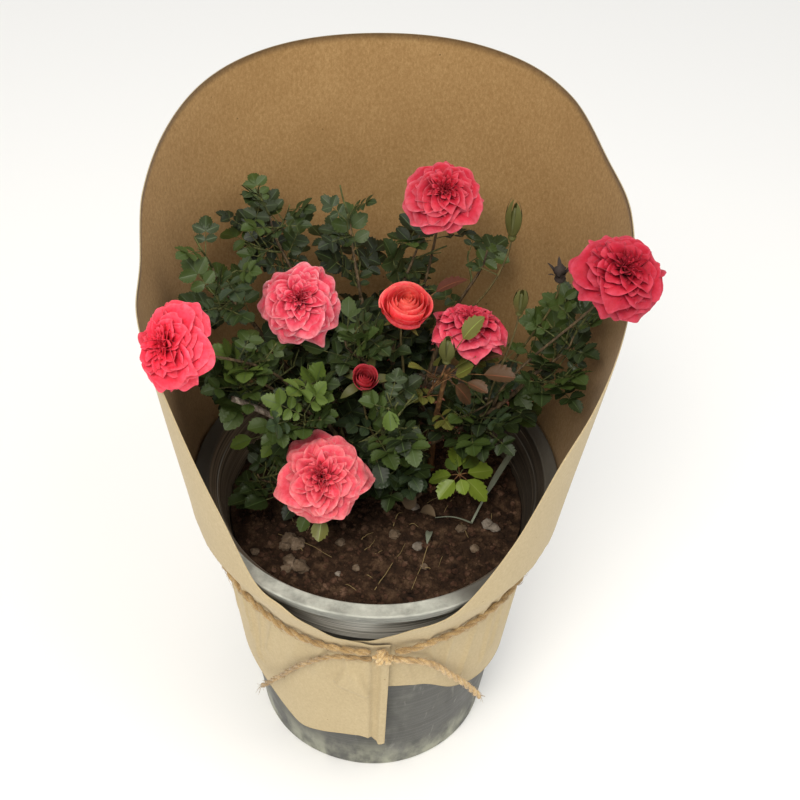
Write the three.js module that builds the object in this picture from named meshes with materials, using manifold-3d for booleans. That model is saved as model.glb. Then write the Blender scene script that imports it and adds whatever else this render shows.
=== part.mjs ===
// A miniature rose bush in its plastic nursery pot, wrapped in kraft paper that is tied with jute twine.
// Millimetres, +Z up. The origin is the centre of the pot's flat underside, and the wrap opens towards -Y.
// A bearing is an angle in degrees about the pot's axis: 0 is the back (+Y), 90 is +X and 180 is the front.
import * as THREE from "three";
import { mergeVertices } from "three/addons/utils/BufferGeometryUtils.js";
import Module from "manifold-3d";

const wasm = await Module();
wasm.setup();

// Driving dimensions.
const CLEAR = 0.3; // gap between pieces that touch

const POT_SEGMENTS = 40;
const POT = {
  height: 206,
  baseRadius: 77.5,
  footRound: 2,
  floor: 4,
  wall: 2.2,
  shoulderRadius: 93, // outside, where the straight wall ends
  shoulderZ: 178,
  neckRadius: 97.5, // outside, just under the rim
  neckZ: 196,
  rimRadius: 110,
  rimDepth: 6.5,
  mouthRadius: 101,
};

const SOIL = { top: 181, edgeTop: 178, wornEdge: 3, lumps: 1.5, rings: 8, segments: 24 };

const PAPER = {
  thickness: 1,
  hemZ: 60, // where the skirt's radius is measured
  hemRadius: 87,
  waistRadius: 97.5, // inside, under the twine
  rimRadius: 110.7, // inside, where it passes the pot's rim
  rimZ: 197,
  flare: 0.11, // growth of the hood's radius with height
  lap: 1.9, // how far the left sheet stands outside the right one where they lap
  columns: 44,
  leastRow: 0.9,
  endBearing: { left: -187, right: 190 },
};

// The sheet's free edges, as bearing and height. The left sheet ends in front, over the right one.
const PAPER_TOP = [
  [-187, 168], [-180, 171], [-168, 180], [-156, 202], [-146, 213], [-137, 262], [-121, 326], [-104, 341],
  [-88, 348], [-77, 376], [-54, 406], [-31, 418], [0, 421], [31, 418], [47, 409], [62, 389], [78, 378],
  [92, 358], [116, 313], [129, 292], [140, 245], [154, 203], [169, 188], [180, 173], [190, 166],
];
const PAPER_HEM = [
  [-187, 47.5], [-184, 48], [-180, 57], [-171, 55], [-160, 49.5], [-150, 44.5], [-143, 51], [-135, 61],
  [-128, 68], [-118, 72], [-90, 72], [0, 68], [90, 70], [125, 78], [145, 92], [160, 112], [190, 118],
];

const TWINE = { radius: 2.1, sides: 6, steps: 46, midZ: 181, slope: 0.12, droop: 0.06, turn: 30 };
const KNOT = { bearing: 175.5, z: 163, width: 13, height: 10, depth: 9, halfTurn: 3.9 };
// Each tail runs down over the paper from the knot: bearings, heights and how far it stands off.
const TAILS = {
  left: {
    bearings: [178.9, 192, 204, 214.5, 224],
    heights: [160, 155.5, 132, 103, 78],
    off: [5, 3, 2, 4, 11],
  },
  right: {
    bearings: [172.6, 160, 151, 143.5, 136],
    heights: [160, 145, 123, 103, 79],
    off: [5, 1, 2, 6, 12],
  },
};

// The bush stands on a short woody foot, and its canes leave the foot's side.
const FOOT = { x: 2, y: 18, bottomRadius: 9, topRadius: 6.5, top: 207, sides: 14 };
// Canes by the place where they leave the foot: radii, how far below its top, and how steeply they start.
const CANE = {
  sides: 5,
  steps: 5,
  high: { root: 2.1, tip: 1.2, below: 4, rise: 1.3 },
  mid: { root: 2.1, tip: 1.2, below: 10, rise: 1.1 },
  low: { root: 1.6, tip: 1, below: 17, rise: 0.5 },
  middle: { root: 2.1, tip: 1.2 },
  bough: { root: 1.5, tip: 1 },
};
const TWIG = { radius: 0.9, tipRadius: 0.7, count: 6, goldenTurn: 2.4, reach: 0.5, leaves: 5, clear: 1.4 };
// A leaf stands for a spray of leaflets. Where it doesn't fit it is tried at smaller shares of its size.
const LEAF = { length: 25, widthShare: 0.62, thickness: 0.9, spacing: 4, clear: 2.7, tries: [1, 0.82, 0.66] };
// The stem of a mass: its tip and its sides, and how far it keeps off other limbs.
const STEM = { tipRadius: 0.5, sides: 4, steps: 5, clear: 1.6 };
const ROOM = 4; // how far the leaves keep off the soil, the pot and the wrap

// Each mass of leaves: the bearing and reach of its middle from the foot, the height of that middle, and its
// half sizes outwards, across and upwards. Its cane leaves the foot, or as a bough another cane. The fresh
// mass stands on the red cane.
const MASSES = [
  { name: "left_top", kind: "high", bearing: -86, reach: 90, z: 322, half: [40, 44, 43], seed: 11 },
  {
    name: "left_middle", kind: "bough", on: "left_top", from: 0.5,
    bearing: -105, reach: 76, z: 284, half: [40, 39, 36], seed: 12,
  },
  { name: "back_left", kind: "mid", bearing: -60, reach: 74, z: 334, half: [38, 38, 43], seed: 13 },
  { name: "back_middle", kind: "high", bearing: -30, reach: 46, z: 328, half: [40, 38, 41], seed: 14 },
  { name: "back_right", kind: "mid", bearing: 18, reach: 34, z: 330, half: [38, 36, 41], seed: 15 },
  { name: "front_left", kind: "mid", bearing: -128, reach: 56, z: 272, half: [42, 40, 38], seed: 16 },
  { name: "centre", kind: "middle", bearing: -100, reach: 18, z: 292, half: [38, 40, 41], seed: 17 },
  { name: "front", kind: "mid", bearing: 178, reach: 44, z: 272, half: [38, 42, 34], seed: 18 },
  { name: "front_low", kind: "low", bearing: 150, reach: 27, z: 224, half: [38, 46, 26], seed: 19 },
  { name: "right_back", kind: "high", bearing: 60, reach: 60, z: 322, half: [40, 40, 41], seed: 20 },
  { name: "right", kind: "mid", bearing: 98, reach: 98, z: 302, half: [40, 40, 40], seed: 21 },
  {
    name: "right_middle", kind: "bough", on: "right", from: 0.45,
    bearing: 104, reach: 60, z: 262, half: [40, 38, 36], seed: 22,
  },
  { name: "back_low", kind: "low", bearing: 0, reach: 44, z: 256, half: [38, 60, 38], seed: 23 },
  { name: "young_shoot", kind: "low", bearing: 128, reach: 54, z: 213, half: [29, 26, 18], seed: 24 },
  { name: "low_left", kind: "low", bearing: -114, reach: 74, z: 208, half: [33, 30, 18], seed: 25 },
  { name: "red", kind: "fresh", bearing: 122, reach: 52, z: 306, half: [30, 34, 27], seed: 26 },
];

// Each flower: its middle, its width, the way it faces, and the cane that it leaves. The left and the right
// one look over the edge of the wrap.
const FLOWERS = [
  { name: "left", at: [-101.5, -58, 348], width: 44, face: [-0.4, -0.6, 0.7], on: "left_middle", from: 0.5 },
  { name: "upper_left", at: [-45.5, 15, 321], width: 46, face: [0, -0.6, 0.8], on: "front_left", from: 0.6 },
  { name: "top", at: [30.8, 42, 375], width: 43, face: [0.05, -0.5, 0.86], on: "back_right", from: 0.7 },
  { name: "right", at: [118, -23, 374.5], width: 48, face: [0.2, -0.4, 0.9], on: "right", from: 0.75 },
  { name: "front", at: [-29, -48, 248], width: 50, face: [-0.05, -0.62, 0.78], on: "front", from: 0.45 },
  { name: "inner", at: [48, 10, 308.5], width: 42, face: [0.05, 0, 1], on: "right_back", from: 0.55 },
];
const GOBLET = {
  name: "half_open", at: [13, 10, 323], width: 29, face: [0.16, -0.2, 0.97], on: "centre", from: 0.6,
};
const BUDS = [
  { name: "tall", at: [69, 36, 360], width: 9.5, face: [0, 0, 1], on: "right_back", from: 0.97 },
  { name: "green", at: [72.5, -8, 341], width: 9, face: [0, -0.1, 1], on: "right", from: 0.7 },
  { name: "front", at: [36, -16, 313], width: 8, face: [0, 0, 1], on: "red", from: 0.72 },
  { name: "low_red", at: [-8, -10, 288], width: 15, face: [0.1, -0.5, 0.85], on: "front", from: 0.62 },
  { name: "spent", at: [94, 12, 350], width: 12, face: [-0.1, 0, 1], on: "right", from: 0.85 },
];
// The fresh red cane rises from the soil by itself, and the old pruned stub leans out at the left.
const RED_CANE = { name: "red", root: [33, 26], tip: [37, -6, 292], rootRadius: 2.2, tipRadius: 1.3 };
const STUB = { on: "left_top", from: 0.12, tip: [-79, -26, 284], rootRadius: 1.9, tipRadius: 1.6 };

// Colours of the sub-parts.
const LOOK = {
  pot: { color: 0x4b5156, roughness: 0.6 },
  soil: { color: 0x4a382c, roughness: 1 },
  paper: { color: 0xc2a271, roughness: 0.85 },
  twine: { color: 0xb08a4e, roughness: 0.95 },
  bark: { color: 0x5c4a33, roughness: 0.85 },
  redBark: { color: 0x8a4a34, roughness: 0.7 },
  leaf: { color: 0x34542f, roughness: 0.55 },
  youngLeaf: { color: 0x6f9a35, roughness: 0.5 },
  petal: { color: 0xf0566e, roughness: 0.6 },
  salmonPetal: { color: 0xff6d57, roughness: 0.6 },
  bud: { color: 0x7c8244, roughness: 0.6 },
};

// Small tools for numbers, points and solids.
const vec = (x, y, z) => new THREE.Vector3(x, y, z);
const radians = THREE.MathUtils.degToRad;
const lerp = THREE.MathUtils.lerp;
const clamp = THREE.MathUtils.clamp;
const smooth = (value, low, high) => THREE.MathUtils.smoothstep(value, low, high);
const onBearing = (bearing, radius, z) =>
  vec(radius * Math.sin(radians(bearing)), radius * Math.cos(radians(bearing)), z);

// A seeded stream of numbers from 0 to 1.
function stream(seed) {
  let state = seed * 7919 + 17;
  return () => {
    state = (state * 16807) % 2147483647;
    return state / 2147483647;
  };
}

// The height at x on a smooth curve through the given points.
function through(points, x) {
  const last = points.length - 2;
  let i = 0;
  while (i < last && x > points[i + 1][0]) i += 1;
  const slope = (j) => {
    const before = points[Math.max(j - 1, 0)];
    const after = points[Math.min(j + 1, points.length - 1)];
    return (after[1] - before[1]) / (after[0] - before[0]);
  };
  const span = points[i + 1][0] - points[i][0];
  const t = clamp((x - points[i][0]) / span, 0, 1);
  const t2 = t * t;
  const t3 = t2 * t;
  return (2 * t3 - 3 * t2 + 1) * points[i][1] + (t3 - 2 * t2 + t) * span * slope(i)
    + (3 * t2 - 2 * t3) * points[i + 1][1] + (t3 - t2) * span * slope(i + 1);
}

// Faces that join each row of points, a closed loop, to the next one.
function sideFaces(rowCount, count) {
  const faces = [];
  for (let j = 0; j + 1 < rowCount; j += 1) {
    for (let i = 0; i < count; i += 1) {
      const a = j * count + i;
      const b = j * count + ((i + 1) % count);
      faces.push(a, b, b + count, a, b + count, a + count);
    }
  }
  return faces;
}

// A closed surface from rows of points: each row is a loop, and the ends are closed to their middles.
function loftRows(rows) {
  const count = rows[0].length;
  const middle = (row) => row.reduce((sum, p) => sum.add(p), vec(0, 0, 0)).divideScalar(count);
  const points = [...rows.flat(), middle(rows[0]), middle(rows[rows.length - 1])];
  const faces = sideFaces(rows.length, count);
  const top = (rows.length - 1) * count;
  for (let i = 0; i < count; i += 1) {
    const next = (i + 1) % count;
    faces.push(i, points.length - 2, next, top + i, top + next, points.length - 1);
  }
  return indexed(points, faces);
}

function indexed(points, faces) {
  const geometry = new THREE.BufferGeometry().setFromPoints(points);
  geometry.setIndex(faces);
  return geometry;
}

// A round body turned about Z from a profile of radius and height.
function turned(profile, segments) {
  const points = profile.map(([radius, z]) => new THREE.Vector2(radius, z));
  return new THREE.LatheGeometry(points, segments).rotateX(Math.PI / 2);
}

function solid(geometry) {
  const bare = geometry.clone();
  bare.deleteAttribute("normal");
  bare.deleteAttribute("uv");
  const merged = mergeVertices(bare, 1e-4);
  return new wasm.Manifold(new wasm.Mesh({
    numProp: 3,
    vertProperties: merged.attributes.position.array,
    triVerts: new Uint32Array(merged.index.array),
  }));
}

// Joins the pieces, and keeps the one body that holds the root.
function fused(geometries) {
  const whole = wasm.Manifold.union(geometries.map(solid));
  const bodies = whole.decompose().sort((a, b) => b.volume() - a.volume());
  const mesh = bodies[0].getMesh();
  const geometry = new THREE.BufferGeometry();
  geometry.setAttribute("position", new THREE.BufferAttribute(mesh.vertProperties, mesh.numProp));
  geometry.setIndex(new THREE.BufferAttribute(mesh.triVerts, 1));
  return geometry;
}

// The pot: a tapering wall with a wider neck and a flat rolled rim, and a closed floor.
function potGeometry() {
  const p = POT;
  const innerShoulder = p.shoulderRadius - p.wall + 0.4;
  return turned([
    [0, 0],
    [p.baseRadius - p.footRound, 0],
    [p.baseRadius, p.footRound],
    [p.shoulderRadius, p.shoulderZ],
    [p.shoulderRadius + 1.6, p.shoulderZ + 3],
    [p.neckRadius, p.neckZ],
    [p.neckRadius + 0.6, p.height - p.rimDepth],
    [p.rimRadius - 0.6, p.height - p.rimDepth],
    [p.rimRadius, p.height - p.rimDepth + 0.8],
    [p.rimRadius, p.height - 1],
    [p.rimRadius - 1, p.height],
    [p.mouthRadius, p.height],
    [p.mouthRadius - 1.2, p.height - 1.5],
    [p.neckRadius - p.wall - 0.3, p.neckZ],
    [innerShoulder, p.shoulderZ + 2],
    [p.baseRadius - p.wall - 1, p.floor],
    [0, p.floor],
  ], POT_SEGMENTS);
}

const potInside = (z) =>
  lerp(POT.baseRadius - POT.wall - 1, POT.shoulderRadius - POT.wall + 0.4,
    (z - POT.floor) / (POT.shoulderZ + 2 - POT.floor));

// Height of the lumpy soil: level around the bush's foot and canes.
function soilTop(x, y) {
  const away = Math.hypot(x - FOOT.x - 8, y - FOOT.y);
  const lumps = Math.sin(x / 9 + 0.6) * Math.cos(y / 11) + 0.7 * Math.sin((x + 1.6 * y) / 6.5);
  return SOIL.top + SOIL.lumps * lumps * smooth(away, 32, 46);
}

// The soil fills the pot, and its top stands a little off the wall.
function soilGeometry() {
  const floor = POT.floor + CLEAR;
  const edge = potInside(SOIL.edgeTop) - CLEAR - SOIL.wornEdge;
  const profile = [[0, floor], [potInside(floor) - 2 * CLEAR, floor]];
  profile.push([potInside(SOIL.edgeTop - 14) - 2 * CLEAR, SOIL.edgeTop - 14]);
  profile.push([edge + 1, SOIL.edgeTop - 3]);
  for (let k = SOIL.rings; k >= 0; k -= 1) profile.push([edge * (k / SOIL.rings), SOIL.top]);
  const geometry = turned(profile, SOIL.segments);
  const place = geometry.attributes.position;
  for (let i = 0; i < place.count; i += 1) {
    if (place.getZ(i) > SOIL.edgeTop) place.setZ(i, soilTop(place.getX(i), place.getY(i)));
  }
  return geometry;
}

// Height of the twine round the wrap: low in front, high at the back.
function waistZ(bearing) {
  const y = 100 * Math.cos(radians(bearing));
  return TWINE.midZ + TWINE.slope * y - TWINE.droop * (Math.hypot(y, TWINE.turn) - TWINE.turn);
}

// Inner radius of the paper at a bearing and height: snug at the waist, out round the rim, then flaring.
function paperRadius(bearing, z) {
  const waist = waistZ(bearing);
  const lapped = PAPER.lap * (1 - smooth(bearing, -162, -136));
  const below = lerp(PAPER.hemRadius, PAPER.waistRadius, (z - PAPER.hemZ) / (waist - PAPER.hemZ));
  const neck = lerp(PAPER.waistRadius, PAPER.rimRadius, (z - waist) / (PAPER.rimZ - waist));
  const hood = PAPER.rimRadius + PAPER.flare * (z - PAPER.rimZ);
  if (z < waist) return below + lapped;
  return (z < PAPER.rimZ ? neck : hood) + lapped;
}

// Heights of the sheet's rows at a bearing, from its hem to its top edge. Where the sheet is low in front,
// its upper rows close up under the edge.
function paperLevels(bearing) {
  const top = through(PAPER_TOP, bearing);
  const hem = through(PAPER_HEM, bearing);
  const waist = waistZ(bearing);
  const hood = Math.max(top, POT.height);
  const levels = [hem, lerp(hem, waist, 0.5), waist, PAPER.rimZ, POT.height + 1];
  for (const part of [0.33, 0.67, 1]) levels.push(lerp(POT.height, hood, part));
  const last = levels.length - 1;
  return levels.map((z, k) => Math.min(z, top - (last - k) * PAPER.leastRow));
}

// The wrap: one sheet from its right end under the knot, round the back, to its left end over it.
function paperGeometry() {
  const rows = [];
  for (let i = 0; i <= PAPER.columns; i += 1) {
    const bearing = lerp(PAPER.endBearing.right, PAPER.endBearing.left, i / PAPER.columns);
    const levels = paperLevels(bearing);
    const inside = levels.map((z) => onBearing(bearing, paperRadius(bearing, z), z));
    const outside = levels.map((z) => onBearing(bearing, paperRadius(bearing, z) + PAPER.thickness, z));
    rows.push([...inside, ...outside.reverse()]);
  }
  return sheetLoft(rows);
}

// A thin sheet from rows that run up its inside and down its outside, with its two ends closed as strips.
function sheetLoft(rows) {
  const count = rows[0].length;
  const half = count / 2;
  const faces = sideFaces(rows.length, count);
  const end = (rows.length - 1) * count;
  for (let i = 0; i + 1 < half; i += 1) {
    const across = count - 1 - i;
    faces.push(i, across, i + 1, i + 1, across, across - 1);
    faces.push(end + i, end + i + 1, end + across, end + i + 1, end + across - 1, end + across);
  }
  return indexed(rows.flat(), faces);
}

// A round limb along given points, thinning from its root to its tip, with closed ends.
function limbGeometry(points, rootRadius, tipRadius, sides) {
  const last = points.length - 1;
  const rows = [];
  let side = null;
  points.forEach((point, k) => {
    const along = points[Math.min(k + 1, last)].clone().sub(points[Math.max(k - 1, 0)]).normalize();
    if (!side) side = vec(0.31, 0.87, 0.2).cross(along);
    side.addScaledVector(along, -side.dot(along)).normalize();
    const other = along.clone().cross(side);
    const radius = lerp(rootRadius, tipRadius, k / last);
    const row = [];
    for (let i = 0; i < sides; i += 1) {
      const turn = (2 * Math.PI * i) / sides;
      row.push(point.clone().addScaledVector(side, radius * Math.cos(turn))
        .addScaledVector(other, radius * Math.sin(turn)));
    }
    rows.push(row);
  });
  return loftRows(rows);
}

// Points on a curve that leaves its start and reaches its end in given directions.
function curvePoints(start, startWay, end, endWay, steps) {
  const reach = start.distanceTo(end);
  const curve = new THREE.CubicBezierCurve3(
    start,
    start.clone().addScaledVector(startWay, reach * 0.36),
    end.clone().addScaledVector(endWay, -reach * 0.36),
    end,
  );
  return curve.getPoints(steps);
}

// Limbs are kept by name: their points and radii tell where others start and what leaves have to miss.
const limbs = new Map();

function addLimb(name, start, startWay, end, endWay, rootRadius, tipRadius) {
  const points = curvePoints(start, startWay, end, endWay, CANE.steps);
  limbs.set(name, { points, rootRadius, tipRadius });
}

function limbPlace(name, part) {
  const { points, rootRadius, tipRadius } = limbs.get(name);
  const last = points.length - 1;
  const i = Math.min(Math.floor(part * last), last - 1);
  return {
    point: points[i].clone().lerp(points[i + 1], part * last - i),
    along: points[i + 1].clone().sub(points[i]).normalize(),
    radius: lerp(rootRadius, tipRadius, part),
  };
}

// Where a side limb starts: just clear of its parent's bark, on the side that faces its goal. The limb leaves
// at a slant, so the edge of its foot is what comes nearest.
function flank(name, part, goal, ownRadius) {
  const { point, along, radius } = limbPlace(name, part);
  const out = goal.clone().sub(point);
  out.addScaledVector(along, -out.dot(along)).normalize();
  const way = out.clone().multiplyScalar(0.9).add(along).normalize();
  const lean = Math.sqrt(1 - way.dot(out) ** 2);
  return { start: point.addScaledVector(out, radius + CLEAR + ownRadius * lean), way };
}

const UP = vec(0, 0, 1);
const FRONT = vec(0, -1, 0);

// The middle of a mass and its own three directions: outwards, across and up.
function massFrame(mass) {
  const out = onBearing(mass.bearing, 1, 0);
  const middle = vec(FOOT.x, FOOT.y, mass.z).addScaledVector(out, mass.reach);
  return { middle, axes: [out, vec(out.y, -out.x, 0), UP.clone()] };
}

// Where a cane leaves the foot's tapering side: its own foot slants, so the upper edge comes nearest.
function footSide(out, way, z, ownRadius) {
  const rise = way.dot(out);
  const lean = Math.sqrt(1 - rise ** 2);
  const part = (z + ownRadius * rise - SOIL.top) / (FOOT.top - SOIL.top);
  const radius = lerp(FOOT.bottomRadius, FOOT.topRadius, part) + CLEAR + ownRadius * lean;
  return vec(FOOT.x, FOOT.y, z).addScaledVector(out, radius);
}

function growCanes() {
  for (const mass of MASSES) {
    if (mass.kind === "fresh") continue;
    const { middle, axes } = massFrame(mass);
    const [out] = axes;
    const end = middle.clone().addScaledVector(out, -0.4 * mass.half[0]);
    end.z -= 0.62 * mass.half[2];
    const endWay = out.clone().multiplyScalar(0.5).add(UP).normalize();
    const size = CANE[mass.kind];
    if (mass.kind === "bough") {
      const { start, way } = flank(mass.on, mass.from, end, size.root);
      addLimb(mass.name, start, way, end, endWay, size.root, size.tip);
      continue;
    }
    const startWay = mass.kind === "middle" ? UP : out.clone().addScaledVector(UP, size.rise).normalize();
    const start = mass.kind === "middle"
      ? vec(FOOT.x, FOOT.y, FOOT.top + CLEAR)
      : footSide(out, startWay, FOOT.top - size.below, size.root);
    addLimb(mass.name, start, startWay, end, endWay, size.root, size.tip);
  }
  const red = RED_CANE;
  addLimb("red", vec(...red.root, SOIL.top + CLEAR), UP, vec(...red.tip), vec(0.1, -0.2, 1).normalize(),
    red.rootRadius, red.tipRadius);
  const goal = vec(...STUB.tip);
  const { start, way } = flank(STUB.on, STUB.from, goal, STUB.rootRadius);
  addLimb("stub", start, way, goal, goal.clone().sub(start).normalize(), STUB.rootRadius, STUB.tipRadius);
}

// Heads of flowers, kept as flat round bodies that leaves have to miss.
const heads = [];
const STALK = { sides: 4, flower: 0.95, halfOpen: 0.9, bud: 0.75 }; // its radius by the kind of its head

// The stalk of a head. A flower and a bud may share a name, so the stalk is named by its parent limb too.
function stalkFor(item, radius) {
  const middle = vec(...item.at);
  const face = vec(...item.face).normalize();
  const foot = middle.clone().addScaledVector(face, -0.3 * item.width);
  const { start, way } = flank(item.on, item.from, foot, radius);
  const points = curvePoints(start, way, foot, face, CANE.steps);
  limbs.set("stalk_" + item.on + "_" + item.name, { points, rootRadius: radius, tipRadius: radius * 0.8 });
  heads.push({ middle, face, radius: item.width / 2 });
  const sunkTip = foot.clone().addScaledVector(face, 0.12 * item.width);
  return limbGeometry([...points, sunkTip], radius, radius * 0.8, STALK.sides);
}

// Turns a head about its own axis to the way that it faces, and moves it to its place.
function placed(geometry, item) {
  const turn = new THREE.Quaternion().setFromUnitVectors(UP, vec(...item.face).normalize());
  geometry.applyQuaternion(turn);
  return geometry.translate(...item.at);
}

// A flower head in tiers: rows of radius, height and waviness, as parts of the head's radius.
function headGeometry(tiers, radius, petals) {
  const rows = tiers.map(([out, up, wave], k) => {
    const row = [];
    for (let i = 0; i < 2 * petals; i += 1) {
      const turn = (Math.PI * i) / petals;
      const tip = (i + k) % 2 === 0 ? wave : -wave;
      row.push(vec(radius * out * (1 + tip) * Math.cos(turn), radius * out * (1 + tip) * Math.sin(turn),
        radius * (up - tip * 0.25)));
    }
    return row;
  });
  return loftRows(rows);
}

// From the calyx up round the outer petals and in to the tight middle.
const OPEN_TIERS = [
  [0.1, -0.62, 0], [0.24, -0.34, 0], [0.7, -0.24, 0.05], [1, -0.06, 0.08], [0.8, 0.03, 0.05],
  [0.84, 0.18, 0.07], [0.58, 0.17, 0.05], [0.56, 0.34, 0.07], [0.32, 0.3, 0.06], [0.2, 0.38, 0.08],
  [0.06, 0.22, 0],
];
const GOBLET_TIERS = [
  [0.14, -0.75, 0], [0.42, -0.5, 0], [0.72, -0.1, 0.03], [0.98, 0.32, 0.07], [0.7, 0.36, 0.05],
  [0.68, 0.55, 0.07], [0.4, 0.48, 0.05], [0.1, 0.6, 0.02],
];
const BUD_TIERS = [[0.3, -1.1, 0], [0.85, -0.8, 0], [1, 0, 0.05], [0.66, 1, 0.05], [0.1, 2.1, 0]];

function flowerGeometry(item) {
  return fused([stalkFor(item, STALK.flower), placed(headGeometry(OPEN_TIERS, item.width / 2, 6), item)]);
}

function gobletGeometry(item) {
  return fused([stalkFor(item, STALK.halfOpen), placed(headGeometry(GOBLET_TIERS, item.width / 2, 6), item)]);
}

function budGeometry(item) {
  return fused([stalkFor(item, STALK.bud), placed(headGeometry(BUD_TIERS, item.width / 2, 4), item)]);
}

// Shortest distance between two straight pieces, a to b and c to d.
function gapBetween(a, b, c, d) {
  const u = b.clone().sub(a);
  const v = d.clone().sub(c);
  const w = a.clone().sub(c);
  const uu = Math.max(u.dot(u), 1e-9);
  const uv = u.dot(v);
  const vv = Math.max(v.dot(v), 1e-9);
  const cross = uu * vv - uv * uv;
  let s = cross > 1e-9 ? clamp((uv * v.dot(w) - vv * u.dot(w)) / cross, 0, 1) : 0;
  const t = clamp((uv * s + v.dot(w)) / vv, 0, 1);
  s = clamp((uv * t - u.dot(w)) / uu, 0, 1);
  return a.clone().addScaledVector(u, s).distanceTo(c.clone().addScaledVector(v, t));
}

// True where a straight piece keeps the given distance to every limb but its own, and to every flower head.
function missesLimbs(a, b, distance, own) {
  for (const [name, limb] of limbs) {
    if (name === own) continue;
    const radius = Math.max(limb.rootRadius, limb.tipRadius) + distance;
    for (let k = 0; k + 1 < limb.points.length; k += 1) {
      if (gapBetween(a, b, limb.points[k], limb.points[k + 1]) < radius) return false;
    }
  }
  for (const head of heads) {
    for (const part of [0, 0.5, 1]) {
      const away = a.clone().lerp(b, part).sub(head.middle);
      const up = away.dot(head.face) + 0.1 * head.radius;
      const out = Math.sqrt(Math.max(away.lengthSq() - away.dot(head.face) ** 2, 0));
      if (Math.hypot(out / (head.radius + 3), up / (0.55 * head.radius + 3)) < 1) return false;
    }
  }
  return true;
}

// True where a point is in the mass's own space: in its egg, on its side of each neighbour, and in the wrap.
function inSpace(mass, frame, point) {
  const away = point.clone().sub(frame.middle);
  const parts = frame.axes.map((axis, k) => away.dot(axis) / mass.half[k]);
  if (Math.hypot(...parts) > 1) return false;
  const size = (m) => (m.half[0] + m.half[1] + m.half[2]) / 3;
  for (const other of MASSES) {
    if (other === mass) continue;
    const between = massFrame(other).middle.sub(frame.middle);
    const share = size(mass) / (size(mass) + size(other));
    if (away.dot(between) / between.length() > share * between.length() - CLEAR) return false;
  }
  if (point.z < SOIL.top + ROOM) return false;
  const wall = point.z < POT.height + 3 ? potInside(point.z) : paperRadius(0, point.z);
  return Math.hypot(point.x, point.y) < wall - ROOM;
}

// A flat pointed leaf of eight faces, from its sunk root to its tip.
function leafPoints(root, way, up, length) {
  const width = length * LEAF.widthShare;
  const across = way.clone().cross(up).normalize();
  const middle = root.clone().addScaledVector(way, 0.48 * length);
  const over = across.clone().cross(way).multiplyScalar(LEAF.thickness / 2);
  return [
    root,
    root.clone().addScaledVector(way, length),
    middle.clone().addScaledVector(across, width / 2),
    middle.clone().addScaledVector(across, -width / 2),
    middle.clone().add(over),
    middle.clone().sub(over),
  ];
}

const LEAF_FACES = [0, 2, 4, 2, 1, 4, 1, 3, 4, 3, 0, 4, 2, 0, 5, 1, 2, 5, 3, 1, 5, 0, 3, 5];

function leafFits(mass, frame, points) {
  if (!points.every((point) => inSpace(mass, frame, point))) return false;
  const [root, tip, left, right] = points;
  const lines = [[root, tip], [root, left], [root, right], [left, tip], [right, tip]];
  return lines.every(([a, b]) => missesLimbs(a, b, LEAF.clear, mass.name));
}

// A twig: a slim three-sided rod with its root sunk in the stem.
function twigGeometry(base, tip) {
  const along = tip.clone().sub(base).normalize();
  const side = along.clone().cross(Math.abs(along.z) < 0.9 ? UP : vec(1, 0, 0)).normalize();
  const other = along.clone().cross(side);
  const ring = (end, radius) => [0, 1, 2].map((i) => {
    const turn = (2 * Math.PI * i) / 3;
    return end.clone().addScaledVector(side, radius * Math.cos(turn))
      .addScaledVector(other, radius * Math.sin(turn));
  });
  const corners = [...ring(base, TWIG.radius), ...ring(tip, TWIG.tipRadius)];
  return indexed(corners, [0, 2, 1, 3, 4, 5, 0, 1, 4, 0, 4, 3, 1, 2, 5, 1, 5, 4, 2, 0, 3, 2, 3, 5]);
}

// Where a leaf starts and points: leaves stand on alternate sides of their twig and lean towards its tip.
function leafAim(along, k, last, random) {
  const side = along.clone().cross(UP).normalize();
  const other = side.clone().cross(along);
  const around = (random() - 0.5) * 1.1 + (k % 2) * Math.PI;
  const out = side.multiplyScalar(Math.cos(around)).addScaledVector(other, 0.7 * Math.sin(around));
  const way = out.clone().addScaledVector(along, last ? 2.5 : 0.7).addScaledVector(UP, 0.15).normalize();
  const tilt = UP.clone().addScaledVector(out, 0.5 * random() - 0.1).addScaledVector(FRONT, 0.35);
  return { way, up: tilt.addScaledVector(way, -tilt.dot(way)).normalize(), size: 0.85 + 0.3 * random() };
}

// True where a leaf's middle line keeps off those of the leaves that the mass already has.
function uncrowded(points, leaves) {
  const [root, tip] = points;
  const from = root.clone().lerp(tip, 0.3);
  return leaves.every(([otherRoot, otherTip]) =>
    gapBetween(from, tip, otherRoot.clone().lerp(otherTip, 0.3), otherTip) > LEAF.spacing);
}

// The leaves of one twig. A leaf that would leave the mass's space, touch a limb or cross another leaf is
// tried smaller, and then skipped.
function leavesOn(mass, frame, base, tip, count, random, leaves) {
  const along = tip.clone().sub(base).normalize();
  for (let k = 0; k < count; k += 1) {
    const aim = leafAim(along, k, k === count - 1, random);
    const root = base.clone().lerp(tip, 0.25 + (0.65 * (k + 1)) / count);
    for (const share of LEAF.tries) {
      const points = leafPoints(root, aim.way, aim.up, LEAF.length * aim.size * share);
      if (leafFits(mass, frame, points) && uncrowded(points, leaves)) {
        leaves.push(points);
        break;
      }
    }
  }
}

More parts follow.
